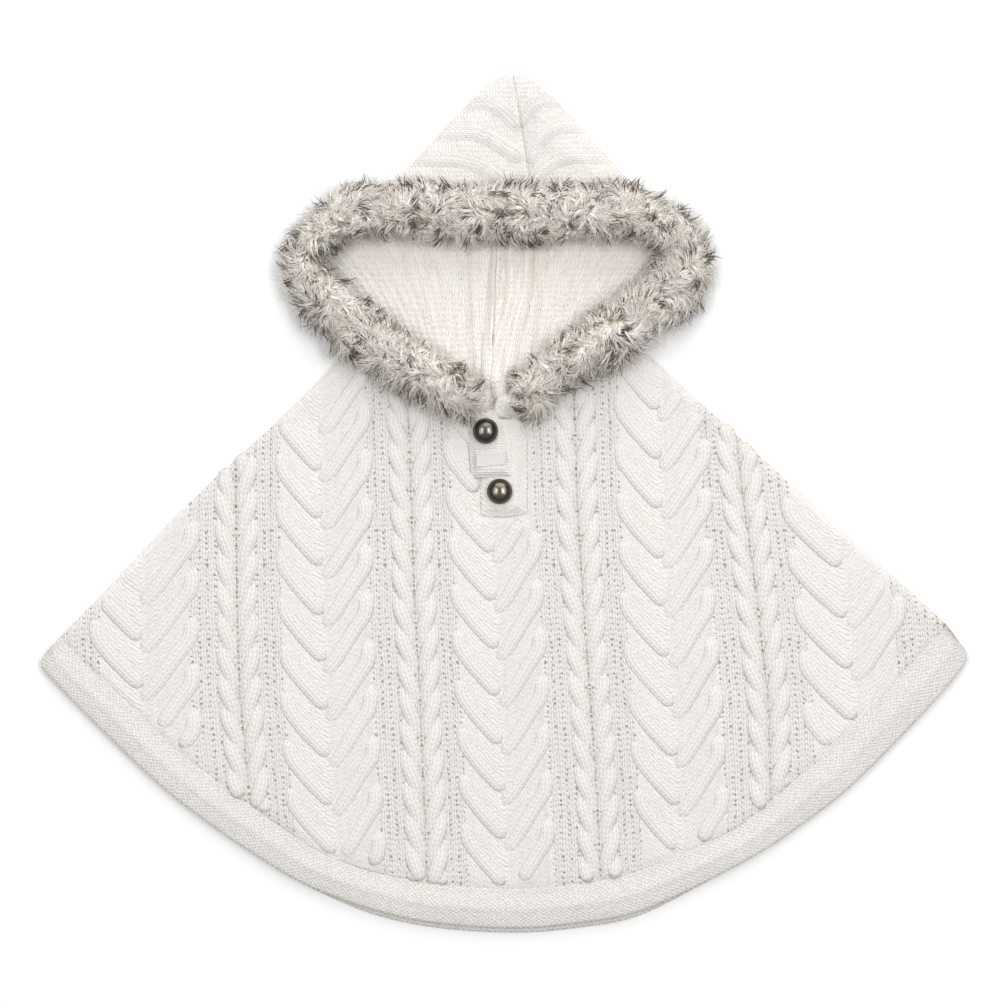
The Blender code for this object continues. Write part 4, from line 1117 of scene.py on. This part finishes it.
FUR_EDGE = 5.0 * MM
FUR_RISE = 17.0 * MM
BED_REACH = 10.0 * MM
LOCKS_A_PIECE = 850
HAIRS_A_LOCK = 6


def bed_height(x, y):
    """Height of what the fur lies on: the crown, the inside of the hood, the front, or nothing."""
    inside = y < hood_outline(x)
    crown = np.where(inside & (y > HOOD_RIM_Y) & (x > -150 * MM) & (x < 134 * MM), 11.2 * MM, 0)
    lining = np.where(inside & (y > hood_neck(x)) & (x > -164 * MM) & (x < 148 * MM), 4.4 * MM, 0)
    panel = np.where(y < front_upper(x) + 1 * MM, 8.4 * MM, 0)
    return np.maximum.reduce([crown, lining, panel])


def bed_under(x, y, reach):
    """The highest bed on a circle of points round each point."""
    angles = np.linspace(0, 2 * np.pi, 12, endpoint=False)
    return np.max([bed_height(x + reach * np.cos(a), y + reach * np.sin(a)) for a in angles], axis=0)


def fur_strip(outer, inner):
    """The strip's two edges at even stations, as a function of (station, share across) to x, y, z."""
    outer, inner = smooth(outer, FUR_STATIONS), smooth(inner, FUR_STATIONS)
    inner, outer = (inner + share * (outer - inner) for share in FUR_SHARE)
    share = np.linspace(0, 1, 9)[None, :, None]
    spots = inner[:, None] + (outer - inner)[:, None] * share
    bed = bed_under(spots[..., 0], spots[..., 1], BED_REACH)
    wide = np.concatenate([bed[:1].repeat(4, 0), bed, bed[-1:].repeat(4, 0)])
    bed = np.mean([wide[k : k + FUR_STATIONS] for k in range(9)], axis=0)

    def place(station, across):
        k = np.clip(station, 0, FUR_STATIONS - 1.001)
        low = k.astype(int)
        part = (k - low)[..., None]
        near = inner[low] * (1 - part) + inner[low + 1] * part
        far = outer[low] * (1 - part) + outer[low + 1] * part
        spot = near + (far - near) * across[..., None]
        cell = np.clip(across * 8, 0, 7.999)
        left = cell.astype(int)
        under = bed[low, left] * (1 - cell + left) + bed[low, left + 1] * (cell - left)
        dome = np.sin(np.pi * np.clip(across, 0, 1)) ** 0.6
        end = np.sqrt(np.clip((FUR_STATIONS - k) / (0.06 * FUR_STATIONS), 0, 1))
        wave = 1.6 * MM * dome * np.sin(0.23 * k) * np.cos(0.11 * k + 7 * across)
        high = under + 0.6 * MM + FUR_EDGE * np.minimum(1, 0.4 + 3 * dome) + FUR_RISE * dome * end + wave
        return np.concatenate([spot, high[..., None]], -1), under, far - near

    return place


def fur_base(name, place):
    """The pile's outer form: a rounded strip with small lumps, on what is under it."""
    station, across = np.meshgrid(np.arange(FUR_STATIONS - 1.0), np.linspace(0, 1, 16), indexing="ij")
    points, under, _ = place(station, across)
    winding = 17 * across - 0.4 * station + 1.7 * np.sin(0.3 * station)
    lump = np.sin(0.9 * station + 5 * across) * np.sin(winding)
    top = points[..., 2] + MM * (1.3 * lump - 1.5) * np.sin(np.pi * across)
    under = np.minimum(under + 0.6 * MM, top - 1 * MM)
    # The pile gets the hair's colour near the root, with its painted shade
    maps = [("hair", pairs(np.full(station.shape, 0.1), 0.0))]
    return shell(name, points[..., 0].T, points[..., 1].T, top.T, under.T, maps)


def curled(place, station, across, heading, curl, length, lift, apart, steps):
    """Paths of hairs: from a place on the pile each sets off at its heading from straight outward, turns
    evenly by its curl, and goes from the pile's surface at its root to the surface under its tip."""
    root, _, way = place(station, across)
    width = np.linalg.norm(way, axis=-1)
    out = way / width[:, None]
    middle = heading[:, None] + curl[:, None] * (steps[None, 1:] + steps[None, :-1]) / 2
    step = np.diff(steps)[None, :] * length[:, None]
    start = np.zeros((len(station), 1))
    forward = np.concatenate([start, np.cumsum(np.cos(middle) * step, 1)], 1)
    sideways = np.concatenate([start, np.cumsum(np.sin(middle) * step, 1)], 1)
    together = 1 - 0.8 * steps
    x = root[:, :1] + out[:, :1] * forward - out[:, 1:] * sideways + apart[0] * together
    y = root[:, 1:2] + out[:, 1:] * forward + out[:, :1] * sideways + apart[1] * together
    end, _, _ = place(station[:, None].repeat(len(steps), 1), across[:, None] + forward / width[:, None])
    z = (root[:, 2:3] - 1.5 * MM) * (1 - steps) + end[..., 2] * steps
    return np.stack([x, y, z + lift[:, None] * np.sin(0.8 * np.pi * steps) + 0.8 * MM * steps], -1)


def tapered(path, thick, steps, sides, dark):
    """Closed hairs along paths: rings that grow thinner, drawn to a point at the tip and shut at the
    root, as (points, faces, UV of the share from root to tip and the tip's shade)."""
    count, rings = len(path), len(steps) - 1
    tangent = np.gradient(path, axis=1)
    tangent /= np.linalg.norm(tangent, axis=-1, keepdims=True)
    side = np.cross(tangent, (0.0, 0.0, 1.0))
    side /= np.linalg.norm(side, axis=-1, keepdims=True) + 1e-9
    up = np.cross(side, tangent)
    angle = np.linspace(0, 2 * np.pi, sides, endpoint=False)[:, None] + np.pi / 2
    section = side[:, :rings, None] * np.cos(angle) + up[:, :rings, None] * np.sin(angle)
    points = path[:, :rings, None] + thick[:, :rings, None, None] * section
    points = np.concatenate([points.reshape(count, rings * sides, 3), path[:, -1:]], 1)
    ring = np.arange(rings * sides).reshape(rings, sides)
    around = np.roll(ring, -1, axis=1)
    quads = np.stack([ring[:-1], ring[1:], around[1:], around[:-1]], -1).reshape(-1, 4)
    tip = np.stack([ring[-1], np.full(sides, rings * sides), around[-1]], -1)
    starts = (np.arange(count) * (rings * sides + 1))[:, None, None]
    faces = [(rows + starts).reshape(-1, rows.shape[-1]) for rows in (quads, tip, ring[:1])]
    along = np.concatenate([np.repeat(steps[:-1], sides), [1.0]])
    return points.reshape(-1, 3), faces, [("hair", pairs(along, dark[:, None]))]


def fur_locks(name, place, first, last, random):
    """Curly locks, each one soft tuft and a few thin hairs that draw together at its tip. They point
    out at the outer edge, in at the inner one and all ways between, and more tips at both are dark: the
    fur's own dark tips, and at the inner edge and its corners also painted shade."""
    count = LOCKS_A_PIECE
    station = random.uniform(first, last, count)
    across = random.uniform(0.1, 0.82, count)
    across = np.where(random.uniform(size=count) < 0.22, random.uniform(0.7, 0.84, count), across)
    outward = ramp(across - 0.42, 0.3)
    inward = 1 - ramp(across - 0.12, 0.26)
    swirl = 2.4 * np.sin(0.061 * station + 3 * across) + 1.3 * np.sin(0.17 * station - 5 * across + 1)
    heading = swirl * (1 - outward) * (1 - inward) + inward * (np.pi + 0.4 * np.sin(0.5 * station))
    sweep = outward * 0.6 * np.sin(0.23 * station + 3 * across)
    heading = heading + random.normal(0, 0.35, count) + sweep
    curl = 1.5 * np.sign(np.sin(0.13 * station + 4 * across)) + random.normal(0, 1.0, count)
    length = MM * (random.uniform(14, 24, count) + 2 * outward) * (1 - 0.25 * inward)
    patches = np.sin(0.17 * station + 6 * across) * np.sin(0.071 * station - 11 * across + 2)
    patches = 0.32 * np.clip(patches, -0.3, 1)
    corner_tips_and_painted_shade = 0.6 * inward * bell(station - 84, 12)
    join = 0.7 * bell(station, 3) * bell(across - 0.5, 0.2)
    # Dark tips: the fur's own, and more at the inner edge and its corners that also stand for painted
    # shade
    chance = 0.02 + 0.34 * ramp(across - 0.62, 0.2) + 0.24 * inward + patches + corner_tips_and_painted_shade + join
    is_dark = random.uniform(size=count) < chance
    dark = np.where(is_dark, random.uniform(0.6, 1.0, count), random.uniform(0.0, 0.3, count))
    lift = MM * random.uniform(1.5, 4.5, count)
    steps = np.array([0.0, 0.3, 0.58, 0.82, 1.0])
    apart = np.zeros((2, count, 1))
    path = curled(place, station, across, heading, curl, length * 0.85, lift, apart, steps)
    thick = MM * random.uniform(1.1, 1.9, count)[:, None] * (1 - 0.9 * steps**1.5)
    tufts = tapered(path, thick, steps, 4, dark * 0.5)
    hairs = count * HAIRS_A_LOCK
    values = (station, across, heading, curl, length, dark, lift)
    station, across, heading, curl, length, dark, lift = (np.repeat(v, HAIRS_A_LOCK) for v in values)
    heading = heading + random.normal(0, 0.12, hairs)
    curl = curl + random.normal(0, 0.35, hairs)
    length = length * random.uniform(0.7, 1.12, hairs)
    lift = lift + MM * random.uniform(-0.5, 2.5, hairs)
    apart = random.normal(0, 1.6 * MM, (2, hairs, 1))
    path = curled(place, station, across, heading, curl, length, lift, apart, steps)
    thick = MM * random.uniform(0.30, 0.5, hairs) * (1 + 0.6 * dark)
    thick = thick[:, None] * (1 - 0.7 * steps**2)
    thin = tapered(path, thick, steps, 3, dark * random.uniform(0.75, 1.0, hairs))
    return shells(name, tufts, thin)


def fur_material():
    """Hair from a brown-grey root, darker there for painted shade deep in the pile, through white to a
    tip that is as dark as the lock's own tip colour. UV "hair" holds the share from root to tip and how
    dark that tip is."""
    made, w, shader = new_material("frosted_fur", 0.7, Specular_IOR_Level=0.25)
    along, dark = w.split(w.uv("hair"))
    place = w.object_place()
    broad = w.fade(w.noise(place, 70.0, 3.0, 0.6), 0.35, 0.68)
    # Painted shade: the hair is darker and browner towards its root, deep in the pile
    root = w.mix(broad, (0.70, 0.615, 0.52, 1.0), (0.94, 0.87, 0.79, 1.0))
    length = w.mix(broad, (0.93, 0.87, 0.80, 1.0), (0.99, 0.95, 0.905, 1.0))
    colour = w.mix(w.fade(along, 0.0, 0.4), root, length)
    tip = w.fade(along, 0.12, 0.6) * w.fade(dark, 0.35, 0.75)
    w.feed(w.mix(tip, colour, (0.15, 0.11, 0.08, 1.0)), shader.inputs["Base Color"])
    w.bump(0.0015, w.noise(place, 400.0, 3.0, 0.6), shader)
    return made


FUR = fur_material()
for side, outer, inner in (
    ("left", FUR_LEFT_OUTER, FUR_LEFT_INNER), ("right", FUR_RIGHT_OUTER, FUR_RIGHT_INNER),
):
    place = fur_strip(outer, inner)
    random = np.random.default_rng(len(side))
    halfway = FUR_STATIONS / 2
    for piece in (
        fur_base("fur_" + side + "_pile", place),
        fur_locks("fur_" + side + "_upper_locks", place, 0, halfway, random),
        fur_locks("fur_" + side + "_lower_locks", place, halfway, FUR_STATIONS - 1, random),
    ):
        dress(piece, FUR, "fur_trim_" + side, "frosted_fur")
